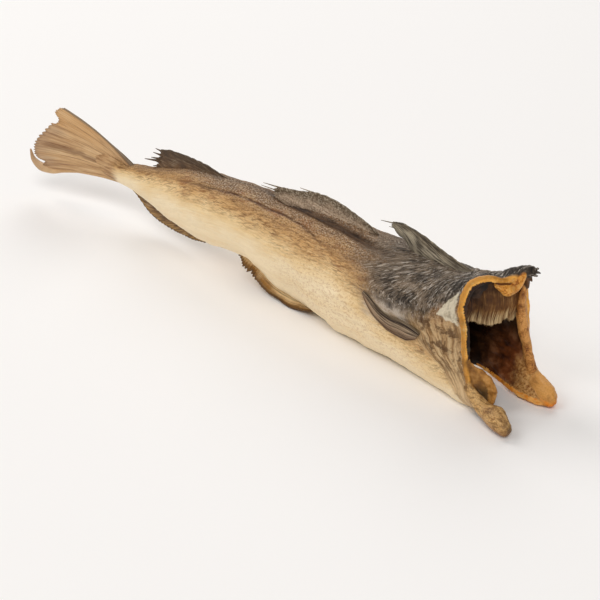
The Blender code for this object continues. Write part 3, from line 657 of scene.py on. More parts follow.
def dress_trunk(made):
    """Works out what the materials need to know of each point, and moves the points into relief."""
    points = places_of(made)
    station, turn, out = unwrap(points)
    table = arc_table()
    arc = arc_of(station, turn, table)
    side = np.minimum(turn, 1 - turn)
    around = -table[:, 0] + table[:, -1]
    girth = np.interp(station, ARC_STATIONS, around)
    line = (side - through(LATERAL_LINE, station)) * girth
    furrow = (turn - through(FURROW, station)) * girth
    kappa = -station / through(COLLAR, side)
    rim, nearest = gap_to(points, rim_stops())
    near_lobe, far_lobe, hem, flesh, fold, tip = (
        gap_to(points, limb)[0] for limb in (NEAR_LOBE, FAR_LOBE, FAR_HEM, FAR_FLESH, TOP_FOLD, NAPE_TIP))
    for start, end, radius in NAPE_SHREDS:
        tip = np.minimum(tip, gap_to(points, ((*start, radius), (*end, radius * 0.34)))[0])
    curl, leaf_share, leaf_down = np.full(len(points), 99.0), np.zeros(len(points)), np.zeros(len(points))
    for share in np.linspace(0.2, 1.0, 7):
        rows = np.asarray(CURL_ROOT) + share * (np.asarray(CURL_EDGE) - np.asarray(CURL_ROOT))
        rows[:, 0] -= CURL_HOLLOW * math.sin(math.pi * share) * np.sin(np.pi * np.linspace(0, 1, len(rows)))
        gap, along = gap_to(points, np.concatenate([rows, np.full((len(rows), 1), 3.0)], axis=1))
        closer = gap < curl
        leaf_share = np.where(closer, share, leaf_share)
        leaf_down = np.where(closer, along / (LIMB_STEPS * (len(rows) - 1)), leaf_down)
        curl = np.minimum(curl, gap)
    lobes = np.minimum(near_lobe, far_lobe)
    ropes = np.minimum(np.minimum(rim, hem), np.minimum(fold, flesh))
    inside = (1 - ease(out, 0.86, 0.93)) * ease(station, -158.0, -150.0)
    inside = np.maximum(inside, (1 - ease(slit_gap(points), 1.2, 2.4)) * (1 - ease(points[:, 2], SLIT_TOP, 23.0)))
    gaps = (ropes, lobes, inside)
    total, fine_part = relief_of(points, station, turn, arc, line, furrow, kappa, gaps)
    tone_knots = np.asarray(TONE_TURNS)
    turns_of_tone = np.stack([np.interp(station, tone_knots[:, 0], tone_knots[:, k]) for k in range(1, 6)])
    tone = np.zeros(len(points))
    for k in range(4):
        low, high = turns_of_tone[k], turns_of_tone[k + 1]
        tone += 0.25 * np.clip((side - low) / (high - low), 0, 1)
    nape = ease(station, -172.0, -62.0) * ease(side, 0.232, 0.30)
    nape *= 1 - ease(station, -48.0, -26.0) * (1 - ease(side, 0.295, 0.345))
    up = (side - 0.31) * girth
    edges = np.minimum((station + 26.7) * 0.733 - 3.8 - up, (station + 26.7) * 0.442 + 3.8 + up)
    patch = ease(np.minimum(edges, -3.5 - station), -2.0, 3.0)
    put_field(made, "flow", vector(station, arc, out))
    put_field(made, "fold", vector(kappa * 40.0, arc, np.where(turn > 0.5, 40.0, 0.0)))
    put_field(made, "tint", vector(tone, nape, patch))
    put_field(made, "mark", vector(line, furrow, fine_part))
    put_field(made, "cut", vector(ropes, lobes, inside))
    put_field(made, "limb", vector(near_lobe, far_lobe, tip))
    put_field(made, "spot", vector(side, curl, kappa))
    put_field(made, "ring", ring_of(points, rim_stops(), nearest))
    # The crease between the rim and the fold under the nape, pressed in below and painted with shade in the rim's
    # material.
    crease = bell(rim - fold - 0.6, 1.0) * (1 - ease(np.minimum(rim, fold), 1.0, 2.4))
    crease *= (1 - ease(points[:, 1], 6.5, 9.5)) * ease(points[:, 0], -16.0, -10.0)
    put_field(made, "leaf", vector(leaf_share, leaf_down, hem))
    put_field(made, "crease", vector(crease, flesh, fold))
    points = points + normals_of(made) * (total - 1.1 * crease)[:, None]
    points[:, 2] = np.maximum(points[:, 2], 0.0)
    put_places(made, points)


def kept_faces(made, name, keep):
    """A copy of an object with only some of its faces, lit as the whole is."""
    normals = normals_of(made)
    copy = placed(name, made.data.copy())
    copy.data.name = name
    shell = bmesh.new()
    shell.from_mesh(copy.data)
    was = shell.verts.layers.int.new("was")
    for vertex in shell.verts:
        vertex[was] = vertex.index
    shell.faces.ensure_lookup_table()
    gone = [face for face, stays in zip(shell.faces, keep) if not stays]
    bmesh.ops.delete(shell, geom=gone, context="FACES")
    order = [vertex[was] for vertex in shell.verts]
    shell.verts.layers.int.remove(was)
    shell.to_mesh(copy.data)
    shell.free()
    copy.data.normals_split_custom_set_from_vertices(normals[order].tolist())
    return copy


def islands_joined(corners, label, smallest=100):
    """The piece of each face, where an island of a few faces takes the piece around it."""
    ends = np.concatenate([corners[:, pair] for pair in ([0, 1], [1, 2], [2, 0])])
    ends = np.sort(ends, axis=1).astype(np.int64)
    key = ends[:, 0] * (int(ends.max()) + 1) + ends[:, 1]
    order = np.argsort(key, kind="stable")
    owner = np.tile(np.arange(len(corners)), 3)[order]
    shared = key[order][1:] == key[order][:-1]
    first, second = owner[:-1][shared], owner[1:][shared]
    alike = label[first] == label[second]
    group = np.arange(len(corners))
    while True:
        one, other = group[first[alike]], group[second[alike]]
        low, high = np.minimum(one, other), np.maximum(one, other)
        if (low == high).all():
            break
        np.minimum.at(group, high, low)
        while (group[group] != group).any():
            group = group[group]
    small = np.bincount(group, minlength=len(corners))[group] < smallest
    votes = np.zeros((len(corners), 3), np.int64)
    for inner, outer in ((first, second), (second, first)):
        border = ~alike & small[inner] & ~small[outer]
        np.add.at(votes, (group[inner[border]], label[outer[border]]), 1)
    known = small & (votes[group].sum(axis=1) > 0)
    return np.where(known, votes[group].argmax(axis=1), label)


def trunk_pieces():
    """The trunk as three pieces that meet without a seam: skin, cut rim with its flaps, and lining."""
    made = trunk()
    dress_trunk(made)
    count = sum(len(face.vertices) - 2 for face in made.data.polygons)
    apply_step(made, "DECIMATE", decimate_type="COLLAPSE", ratio=min(1.0, TRUNK_TRIANGLES / count),
               use_collapse_triangulate=True)
    made.data.shade_smooth()
    cut = get_field(made, "cut")
    corners = np.zeros(len(made.data.polygons) * 3, np.int32)
    made.data.polygons.foreach_get("vertices", corners)
    corners = corners.reshape(-1, 3)
    leaf = get_field(made, "spot")[:, 1]
    limb = np.minimum(np.minimum(cut[:, 0], cut[:, 1]), leaf)[corners].mean(axis=1)
    inside = cut[:, 2][corners].mean(axis=1)
    is_rim = limb < RIM_REACH
    flow = get_field(made, "flow")[corners].mean(axis=1)
    is_lining = ~is_rim & ((inside > 0.5) | ((flow[:, 0] > CUT_FACE_FROM) & (flow[:, 2] < CUT_FACE_OUT)))
    label = islands_joined(corners, np.where(is_rim, 1, np.where(is_lining, 2, 0)))
    pieces = [kept_faces(made, "skin", label == 0), kept_faces(made, "neck_rim", label == 1),
              kept_faces(made, "belly_lining", label == 2)]
    bpy.data.objects.remove(made, do_unlink=True)
    return pieces


# ---------------------------------------------------------------- fins
def ray_profile(along):
    """A row of rounded rays with webs between: 1 on a ray, 0 between two."""
    return 0.5 + 0.5 * np.cos(2 * math.pi * along)


def spine_parts(start, end, radius):
    """A thin spike that tapers towards its end."""
    start, end = np.asarray(start, float), np.asarray(end, float)
    stops = [(*(start + t * (end - start)), radius * (1 - 0.75 * t)) for t in (0.0, 0.35, 0.7, 1.0)]
    return rope_parts(stops, sides=8, between=3)


def fin_object(name, middle, thickness, rays, share, lay, loose=()):
    """A fin with rays in relief on both faces, and loose parts: points, faces and two fields of each."""
    wave = ray_profile(rays)
    grain = 1 + 0.10 * noise(vector(rays * 2.0, share * 14.0, 0.0), 91)
    parts = [sheet_parts(middle, thickness * (0.78 + 0.22 * wave) * grain)]
    fields = [np.tile(vector(rays, share, wave).reshape(-1, 3), (2, 1))]
    lays = [np.tile(vector(lay, share, 0 * rays).reshape(-1, 3), (2, 1))]
    for points, faces, web, its_lay in loose:
        parts.append((points, faces))
        fields.append(np.broadcast_to(web, points.shape))
        lays.append(np.broadcast_to(its_lay, points.shape))
    made = add_mesh(name, *joined(parts))
    put_field(made, "web", np.concatenate(fields))
    put_field(made, "lay", np.concatenate(lays))
    put_field(made, "flow", places_of(made))
    made.data.shade_smooth()
    return made


def fin_patch(name, foot, edge, counts, thick, ragged, rear=0.0, spines=(), size=(150, 44)):
    """A fin between the line of its foot and its free edge, from its rear end to its front end.

    counts gives how many rays cross its length and how many its height, so they lean back; thick gives
    its thickness at the foot and at the edge; rear is how far its rays stand free behind it.
    """
    u, b = np.meshgrid(np.linspace(0, 1, size[0]), np.linspace(0, 1, size[1]), indexing="ij")
    root, free = by_length(foot, u[:, 0])[:, None, :], by_length(edge, u[:, 0])[:, None, :]
    rays = counts[0] * u + counts[1] * b
    rays = rays + 0.35 * noise(vector(rays / 3.0, u * 3.0, 0.0), 79)
    number = np.floor(rays + 0.5).astype(np.int64)
    spike = (ray_profile(rays) - 0.6) * (0.3 + 1.4 * chance(number, 0, 0, 7) ** 2)
    flat = root + b[..., None] * (free - root)
    way = (free - root) / (np.linalg.norm(free - root, axis=-1)[..., None] + 1e-9)
    flat = flat + way * (spike * through(ragged, u) * ease(b, 0.80, 1.0))[..., None]
    flat[..., 0] -= rear * (spike + 0.3) * np.clip(1 - u / 0.12, 0, 1) ** 2
    across = sway(flat[..., 0]) + 0.55 * noise(vector(rays / 3.0, u * 4.0, 0.0), 81)
    middle = vector(flat[..., 0], across, flat[..., 1])
    thickness = thick[1] + (thick[0] - thick[1]) * (1 - b) ** 1.4 * ease(u, 0.0, 0.12) * (1 - ease(u, 0.9, 1.0))
    loose = [(*spine_parts(*spine), (0.0, 0.97, 0.8), (0.8, 0.0, 0.0)) for spine in spines]
    return fin_object(name, middle, thickness, rays, u * 6.0, b, loose)


def folded_fin(name, count=34, rows=30, steps=6):
    """The front belly fin, which hangs from the belly and lies over to the near side."""
    u = np.linspace(0, 1, count * steps + 1)
    line = margin(FRONT_BELLY_FIN, u)
    rays = u * count
    root = vector(line[:, 0], np.full(len(u), 1.5), through(BODY, line[:, 0], 2) + 6.0)
    tips = line[:, 1:]
    ahead = tips - root
    ahead /= np.linalg.norm(ahead, axis=1)[:, None]
    jitter = chance(np.floor(rays + 0.5).astype(np.int64), 3, 0, 9)
    ragged = through(((0.0, 1.5), (0.18, 3.6), (0.3, 1.2), (0.45, 0.5), (1.0, 0.3)), u)
    tips = tips + ahead * ((ray_profile(rays) ** 1.5 - 0.6) * (0.3 + jitter) * ragged)[:, None]
    tips[:, 0] -= (ray_profile(rays) * jitter * ragged)
    share = np.linspace(0, 1, rows)
    middle = root[:, None, :] + share[None, :, None] * (tips - root)[:, None, :]
    middle[..., 2] -= 2.0 * np.sin(np.pi * share)[None, :] * ease(u, 0.3, 0.5)[:, None]
    middle += 0.4 * noise(vector(rays[:, None] / 2.0, share[None, :] * 4.0, 0.0), 87)[..., None]
    thickness = 2.8 - share[None, :] * 1.4 + 0 * rays[:, None]
    middle[..., 2] = np.maximum(middle[..., 2], thickness / 2 + 0.1)
    share = np.broadcast_to(share[None, :], middle.shape[:2])
    strands = 6.0 * share + 2.5 * u[:, None]
    return fin_object(name, middle, thickness, strands, np.broadcast_to(u[:, None], share.shape), share)


def breast_fin(name, side, count=13, steps=7, rows=90):
    """A dried breast fin: rays run its length from the root to the curled tip."""
    u = np.linspace(0, 1, rows)
    lower, upper = margin(BREAST_LOWER, u), margin(BREAST_UPPER, u)
    share = np.linspace(0, 1, count * steps + 1)
    flat = lower[:, None, :] + share[None, :, None] * (upper - lower)[:, None, :]
    x, z = flat[..., 0], flat[..., 1]
    lift = 0.9 + 0.9 * ease(u, 0.75, 1.0)[:, None] + 0.5 * np.sin(np.pi * share)[None, :]
    near = flank_y(x, z) - lift
    y = near if side < 0 else 2 * lean(x, z) - near
    middle = vector(x, y, z)
    rays = np.broadcast_to(share[None, :] * count, x.shape)
    swell = np.sin(np.pi * (0.12 + 0.76 * share))[None, :] * (1 - 0.45 * u[:, None])
    along = np.broadcast_to(u[:, None], x.shape)
    return fin_object(name, middle, 3.4 * swell, rays, along, np.broadcast_to(share[None, :], x.shape))


def tail_point(behind, z, off=0.0):
    """A place in the tail fin's bent plane, or off it to the near side."""
    x = BODY[0][0] + 4.0 - behind * math.cos(TAIL_BEND) + off * math.sin(TAIL_BEND)
    y = -TAIL_STALK_SWAY - behind * math.sin(TAIL_BEND) - off * math.cos(TAIL_BEND)
    return vector(x, y, z)


def tail_fin(name, count=34, steps=7, rows=70):
    """The tail fin with branching rays, a ragged end and a hooked lowest ray."""
    share = np.linspace(0, 1, count * steps + 1)
    rays = share * count
    tips = margin(TAIL_TIPS, share)
    foot, head = BODY[0][2] + 1.5, BODY[0][1] - 1.5
    roots = np.stack([np.full(len(share), -8.0), foot + share * (head - foot)], 1)
    ahead = tips - roots
    ahead /= np.linalg.norm(ahead, axis=1)[:, None]
    jitter = chance(np.floor(rays + 0.5).astype(np.int64), 5, 0, 11)
    tips = tips + ahead * ((ray_profile(rays) - 0.6) * (0.8 + 3.0 * jitter ** 2))[:, None]
    out = np.linspace(0, 1, rows)
    flat = roots[:, None, :] + out[None, :, None] * (tips - roots)[:, None, :]
    bow = TAIL_BOW_FOOT + share * (TAIL_BOW_TOP - TAIL_BOW_FOOT)
    flat[..., 1] += 4 * bow[:, None] * (out * (1 - out))[None, :]
    wave = 2.5 * np.sin(5.5 * share)[:, None] * out[None, :] ** 2
    wave = wave + 1.1 * noise(vector(share[:, None] * 5.0, out[None, :] * 2.5, 0.0), 83) * out[None, :]
    middle = tail_point(flat[..., 0], flat[..., 1], wave)
    fall = np.clip(out * 3.2, 0, 1)
    thickness = np.broadcast_to((6.0 + fall * (1.7 - 6.0))[None, :], middle.shape[:2])
    hook = [(*tail_point(behind, z), radius) for behind, z, radius in TAIL_HOOK]
    full = np.broadcast_to(rays[:, None], middle.shape[:2])
    along = np.broadcast_to(out[None, :], middle.shape[:2])
    points, faces = rope_parts(hook, sides=14, between=8)
    behind = np.clip((-points[:, 0] - 446.0) / 128.0, 0, 1)
    loose = [(points, faces, vector(0.4, behind, 0.7), vector(behind, behind, 1.0))]
    return fin_object(name, middle, thickness, full, along, along, loose)


# ---------------------------------------------------------------- the flesh inside the neck
WALL = ((-24, -35), (-12, -30), (0, -21), (12, -12), (24, -9))


def roof(station, y):
    """The highest place under the skin at each station and distance off the middle."""
    turns = np.linspace(0.28, 0.72, 160)
    rings = [skin(min(at, -0.5), turns, inset=3.5) for at in station]
    return np.array([np.interp(off, ring[:, 1], ring[:, 2]) for ring, off in zip(rings, y)])


def flesh_curtain(name, columns=260, rows=60):
    """The dried flesh under the nape: an upright fibrous wall that ends in a ragged fringe."""
    v = np.linspace(0, 1, columns)
    y = -24.5 + 49.0 * v
    x = through(WALL, y)
    top = np.minimum(100.0 - 8.0 * np.abs(2 * v - 1) ** 3, roof(x, y))
    fibre = v * 64
    jitter = chance(np.floor(fibre).astype(np.int64), 1, 0, 13)
    flake = noise(vector(v * 9.0, 0.0, 0.0), 101)
    hang = 62.5 - 3.0 * v + 3.0 * flake - 2.4 * jitter * ray_profile(fibre + 0.5) ** 0.6
    down = np.linspace(0, 1, rows)
    z = top[:, None] + down[None, :] * (hang - top)[:, None]
    bulge = 3.2 * np.sin(np.pi * down) ** 2 + 1.6 * down ** 3
    depth = x[:, None] + bulge[None, :] + 0.7 * noise(vector(v[:, None] * 22.0, down[None, :] * 2.0, 0.0), 103)
    depth = depth + 0.35 * ray_profile(fibre)[:, None]
    middle = vector(depth, np.broadcast_to(y[:, None], z.shape), z)
    points, faces = sheet_parts(middle, 3.0 - 1.6 * down[None, :] ** 2 + 0 * z)
    made = add_mesh(name, points, faces)
    web = vector(np.broadcast_to(fibre[:, None], z.shape), np.broadcast_to(down[None, :], z.shape),
                 np.broadcast_to(v[:, None], z.shape))
    put_field(made, "web", np.tile(web.reshape(-1, 3), (2, 1)))
    put_field(made, "flow", places_of(made))
    made.data.shade_smooth()
    return made


# ---------------------------------------------------------------- materials
def rgb(red, green, blue):
    """A colour given as a screen would show it, as the linear colour that Blender takes."""
    screen = np.array([red, green, blue]) / 255.0
    linear = np.where(screen <= 0.04045, screen / 12.92, ((screen + 0.055) / 1.055) ** 2.4)
    return (*linear.tolist(), 1.0)


class Signal:
    """One output of a material's node, for sums, products and smooth steps."""

    def __init__(self, paint, socket):
        self.paint, self.socket = paint, socket

    def __mul__(self, other):
        return self.paint.math("MULTIPLY", self, other)

    def __add__(self, other):
        return self.paint.math("ADD", self, other)

    def __sub__(self, number):
        return self.paint.math("ADD", self, -number)

    def __abs__(self):
        return self.paint.math("ABSOLUTE", self, 0.0)

    def rise(self, low, high):
        """0 at low, 1 at high and smooth between."""
        return self.paint.span(self, low, high, 0.0, 1.0, "SMOOTHSTEP")


class Paint:
    """Builds one material: most calls add a node and give its output. Colours are screen colours."""

    def __init__(self, name, roughness):
        self.made = bpy.data.materials.new(name)
        self.made.use_nodes = True
        self.tree = self.made.node_tree
        self.shader = self.tree.nodes["Principled BSDF"]
        self.shader.inputs["Roughness"].default_value = roughness
        self.shader.inputs["Specular IOR Level"].default_value = DRY_GLOSS
        self.fields, self.colour = {}, None

    def feed(self, socket, value):
        if isinstance(value, Signal):
            self.tree.links.new(value.socket, socket)
        else:
            socket.default_value = rgb(*value) if socket.type == "RGBA" else value

    def node(self, kind, inputs, output=0, **settings):
        made = self.tree.nodes.new(kind)
        for key, value in settings.items():
            setattr(made, key, value)
        for key, value in inputs.items():
            self.feed(made.inputs[key], value)
        return Signal(self, made.outputs[output])

    def field(self, name):
        if name not in self.fields:
            self.fields[name] = self.node("ShaderNodeAttribute", {}, "Vector", attribute_type="GEOMETRY",
                                          attribute_name=name)
        return self.fields[name]

    def place(self):
        return self.node("ShaderNodeTexCoord", {}, "Object")

    def split(self, source):
        first = self.node("ShaderNodeSeparateXYZ", {0: source})
        return [Signal(self, output) for output in first.socket.node.outputs]

    def parts(self, name):
        return self.split(self.field(name))

    def math(self, kind, a, b):
        return self.node("ShaderNodeMath", {0: a, 1: b}, operation=kind)

    def span(self, value, low, high, to_low, to_high, kind="LINEAR"):
        ends = {"Value": value, "From Min": low, "From Max": high, "To Min": to_low, "To Max": to_high}
        return self.node("ShaderNodeMapRange", ends, interpolation_type=kind)

    def turned(self, source, degrees):
        return self.node("ShaderNodeVectorRotate", {"Vector": source, "Angle": math.radians(degrees)},
                         rotation_type="Z_AXIS")

    def noise(self, source, size, detail=3, rough=0.55, warp=0):
        """Noise over a source; size is one scale for all ways, or a stretch for each."""
        scale = size
        if isinstance(size, tuple):
            source = self.node("ShaderNodeVectorMath", {0: source, 1: (*size, 0.0)[:3]}, operation="MULTIPLY")
            scale = 1.0
        return self.node("ShaderNodeTexNoise", {"Vector": source, "Scale": scale, "Detail": detail,
                                                "Roughness": rough, "Distortion": warp})

    def mix(self, share, a, b, kind="MIX"):
        return self.node("ShaderNodeMix", {0: share, 6: a, 7: b}, 2, data_type="RGBA", blend_type=kind,
                         clamp_factor=True)

    def cover(self, share, colour, kind="MIX"):
        """Lays a colour over what is there so far."""
        self.colour = self.mix(share, self.colour, colour, kind)

    def ramp(self, share, *stops):
        """Colours along a share, each stop a place and a colour."""
        made = self.node("ShaderNodeValToRGB", {0: share})
        band = made.socket.node.color_ramp
        while len(band.elements) < len(stops):
            band.elements.new(1.0)
        for element, (place, *colour) in zip(band.elements, stops):
            element.position = place
            element.color = rgb(*colour)
        return made

    def finish(self, height, depth, roughness=None):
        self.feed(self.shader.inputs["Base Color"], self.colour)
        if roughness is not None:
            self.feed(self.shader.inputs["Roughness"], roughness)
        bump = self.node("ShaderNodeBump", {"Strength": 1.0, "Distance": depth * MM, "Height": height})
        self.feed(self.shader.inputs["Normal"], bump)
        return self.made


DRY_GLOSS = 0.28
CREAM, PALE_GOLD, GOLD_TAN = (255, 234, 196), (246, 214, 160), (210, 164, 106)
GREY_BROWN, DARK_BACK = (144, 110, 74), (88, 65, 44)
WHITE_WRINKLE, SILVER = (198, 188, 176), (202, 186, 164)
OCHRE, OCHRE_DARK, OCHRE_PALE = (255, 184, 78), (200, 122, 44), (255, 226, 156)
TAN, TAN_DARK, GOLD = (222, 176, 112), (140, 94, 46), (236, 160, 66)


def paint_skin():
    p = Paint("dried_skin", 0.55)
    flow, fold = p.field("flow"), p.field("fold")
    station = p.parts("flow")[0]
    tone, nape, patch = p.parts("tint")
    line, furrow, relief = p.parts("mark")
    side, _, kappa = p.parts("spot")
    streak, mottle = p.noise(flow, (0.05, 0.6), 4), p.noise(flow, (0.028, 0.085), 4)
    p.colour = p.ramp(tone + (streak - 0.5) * 0.30 + (mottle - 0.5) * 0.46, (0.0, *CREAM), (0.25, *PALE_GOLD),
                      (0.5, *GOLD_TAN), (0.75, *GREY_BROWN), (1.0, *DARK_BACK))
    # The edge that lies on the table is more golden and darker: partly its own colour, partly painted contact
    # shade.
    p.cover(side.rise(0.09, 0.015) * 0.5, (204, 156, 96))
    # A fine crazing on the front of the flank.
    crazed = p.noise(flow, (0.34, 0.50), 4, 0.7, 0.8).rise(0.52, 0.38) * station.rise(-265, -170)
    p.cover(crazed * side.rise(0.11, 0.22) * 0.42, (190, 134, 76))
    # Fine brown hatching on the flank, denser towards the back.
    hatched = tone.rise(0.14, 0.42) * tone.rise(1.1, 0.75)
    patches = p.noise(flow, (0.05, 0.09)).rise(0.34, 0.62)
    for degrees, fineness in ((7, 0.85), (-13, 0.6)):
        scratch = p.noise(p.turned(flow, degrees), (0.13 * fineness, 0.80 * fineness), 3, 0.6, 0.6)
        p.cover(scratch.rise(0.50, 0.60) * (hatched * (patches * 0.6 + 0.4)) * 0.62, (120, 80, 42))
    pale = p.noise(p.turned(flow, -6), (0.14, 0.8), 4, 0.6)
    p.cover(pale.rise(0.54, 0.68) * hatched * 0.45, (226, 190, 138))
    # Warm stains by the lateral line.
    stain = p.noise(flow, (0.05, 0.16)).rise(0.50, 0.66) * abs(line).rise(16, 4)
    p.cover(stain * station.rise(-390, -350) * 0.6, (148, 92, 44))
    # Silver and dark specks on the back.
    grain = p.noise(flow, (0.55, 0.75), 2, 0.75)
    on_back = tone.rise(0.45, 0.78) * station.rise(-400, -320)
    p.cover(grain.rise(0.50, 0.62) * on_back * 0.62, SILVER)
    p.cover(grain.rise(0.49, 0.38) * tone.rise(0.36, 0.7) * 0.62, (62, 48, 38))
    p.cover(p.noise(flow, (0.03, 0.07), 4, 0.6).rise(0.50, 0.66) * tone.rise(0.6, 0.9) * 0.55, (66, 50, 38))
    # The charcoal nape with its pale crackle, paler on the wrinkle crests and near black in their troughs: partly
    # the skin's own colour, partly painted highlight and shade.
    wrinkle = p.noise(p.turned(fold, 10), (0.55, 0.16, 1.0), 4, 0.66, 1.1)
    crackle = p.noise(fold, (0.20, 0.13, 1.0), 4, 0.72, 0.9)
    behind = station.rise(-70, -140)
    dark = p.mix(p.noise(flow, (0.05, 0.08)).rise(0.35, 0.65), (76, 64, 52), (138, 119, 98))
    dark = p.mix(behind * 0.8, dark, (118, 100, 80))
    dark = p.mix(kappa.rise(1.1, 0.4) * side.rise(0.33, 0.41) * 0.7, dark, (38, 34, 31))
    # Pale crests: the skin's pale crackle with a painted highlight.
    lit = wrinkle.rise(0.515, 0.585) * (crackle.rise(0.42, 0.60) * 0.8 + 0.1)
    charred = p.mix(lit, dark, p.mix(behind, WHITE_WRINKLE, (190, 172, 150)))
    # Near black in the wrinkle troughs: painted shade.
    charred = p.mix(wrinkle.rise(0.475, 0.41) * 0.85, charred, (28, 24, 20))
    charred = p.mix(crackle.rise(0.46, 0.36) * 0.55, charred, (32, 26, 21))
    p.cover((nape + (mottle + wrinkle * 0.6 - 0.8) * 0.8).rise(0.12, 0.80), charred)
    # A pale grey strip above the breast fin.
    strip = side.rise(0.238, 0.250) * (side + (wrinkle - 0.5) * 0.10).rise(0.300, 0.264)
    strip = strip * (station.rise(-122, -106) * station.rise(-58, -74))
    p.cover(strip * (crackle.rise(0.40, 0.56) * 0.5 + 0.4), (208, 194, 178))
    # The folded collar behind the rim, with brown blotches and a torn pale patch.
    stripes = p.ramp(p.noise(fold, (0.22, 0.03, 1.0), 6, 0.62, 0.9), (0.34, 84, 60, 36), (0.43, 140, 106, 66),
                     (0.52, 196, 162, 118), (0.62, 216, 188, 144), (0.72, 144, 112, 76))
    stripes = p.mix(side.rise(0.245, 0.17) * 0.5, stripes, (240, 206, 160))
    p.cover(kappa.rise(1.45, 1.0) * side.rise(0.315, 0.245) * side.rise(0.045, 0.10) * 0.92, stripes)
    blotch = p.noise(fold, (0.10, 0.12, 1.0), 4, 0.65).rise(0.47, 0.60) * kappa.rise(1.2, 0.8)
    p.cover(blotch * side.rise(0.20, 0.245) * side.rise(0.315, 0.28) * 0.85, (92, 62, 32))
    torn = (patch + (p.noise(flow, (0.20, 0.20), 4, 0.7) - 0.5) * 1.5).rise(0.42, 0.78)
    p.cover(torn * 0.9, p.ramp(crackle, (0.36, 188, 174, 148), (0.5, 228, 216, 190)))
    # The lateral line and the furrow on the back.
    broken = p.noise(flow, (0.09, 0.3)).rise(0.38, 0.6) * station.rise(-148, -172)
    on_line = abs(line + (mottle - 0.5) * 9).rise(2.9, 0.5) * broken * station.rise(-350, -315)
    p.cover(on_line * 0.92, (100, 60, 26))
    in_furrow = abs(furrow + (streak - 0.5) * 8).rise(8.2, 1.6)
    in_furrow = in_furrow * (station.rise(-275, -235) * station.rise(-85, -150))
    p.cover(in_furrow * 0.94, p.mix(streak.rise(0.40, 0.62), (50, 33, 20), (90, 64, 42)))
    # Painted shade: darker where the fine relief sinks in.
    deep = relief.rise(0.05, -0.45) * (tone.rise(0.2, 0.6) * 0.8 + 0.2)
    p.cover(deep * 0.4, (96, 72, 50), "MULTIPLY")
    # The notch before the tail is brown, and the stalk's end takes the tail's tan.
    p.cover(abs(station + 442).rise(11, 3) * side.rise(0.40, 0.47) * 0.8, (82, 60, 38))
    tail_tan = p.ramp(p.noise(flow, (0.04, 0.4), 4), (0.36, 140, 100, 62), (0.5, 192, 150, 104),
                      (0.64, 216, 180, 134))
    p.cover((p.split(p.place())[0] + (streak - 0.5) * 0.02).rise(-0.184, -0.200), tail_tan)
    return p.finish(streak * 0.7 + grain * 0.6 + wrinkle * nape, 0.8, p.span(streak, 0.3, 0.7, 0.42, 0.66))


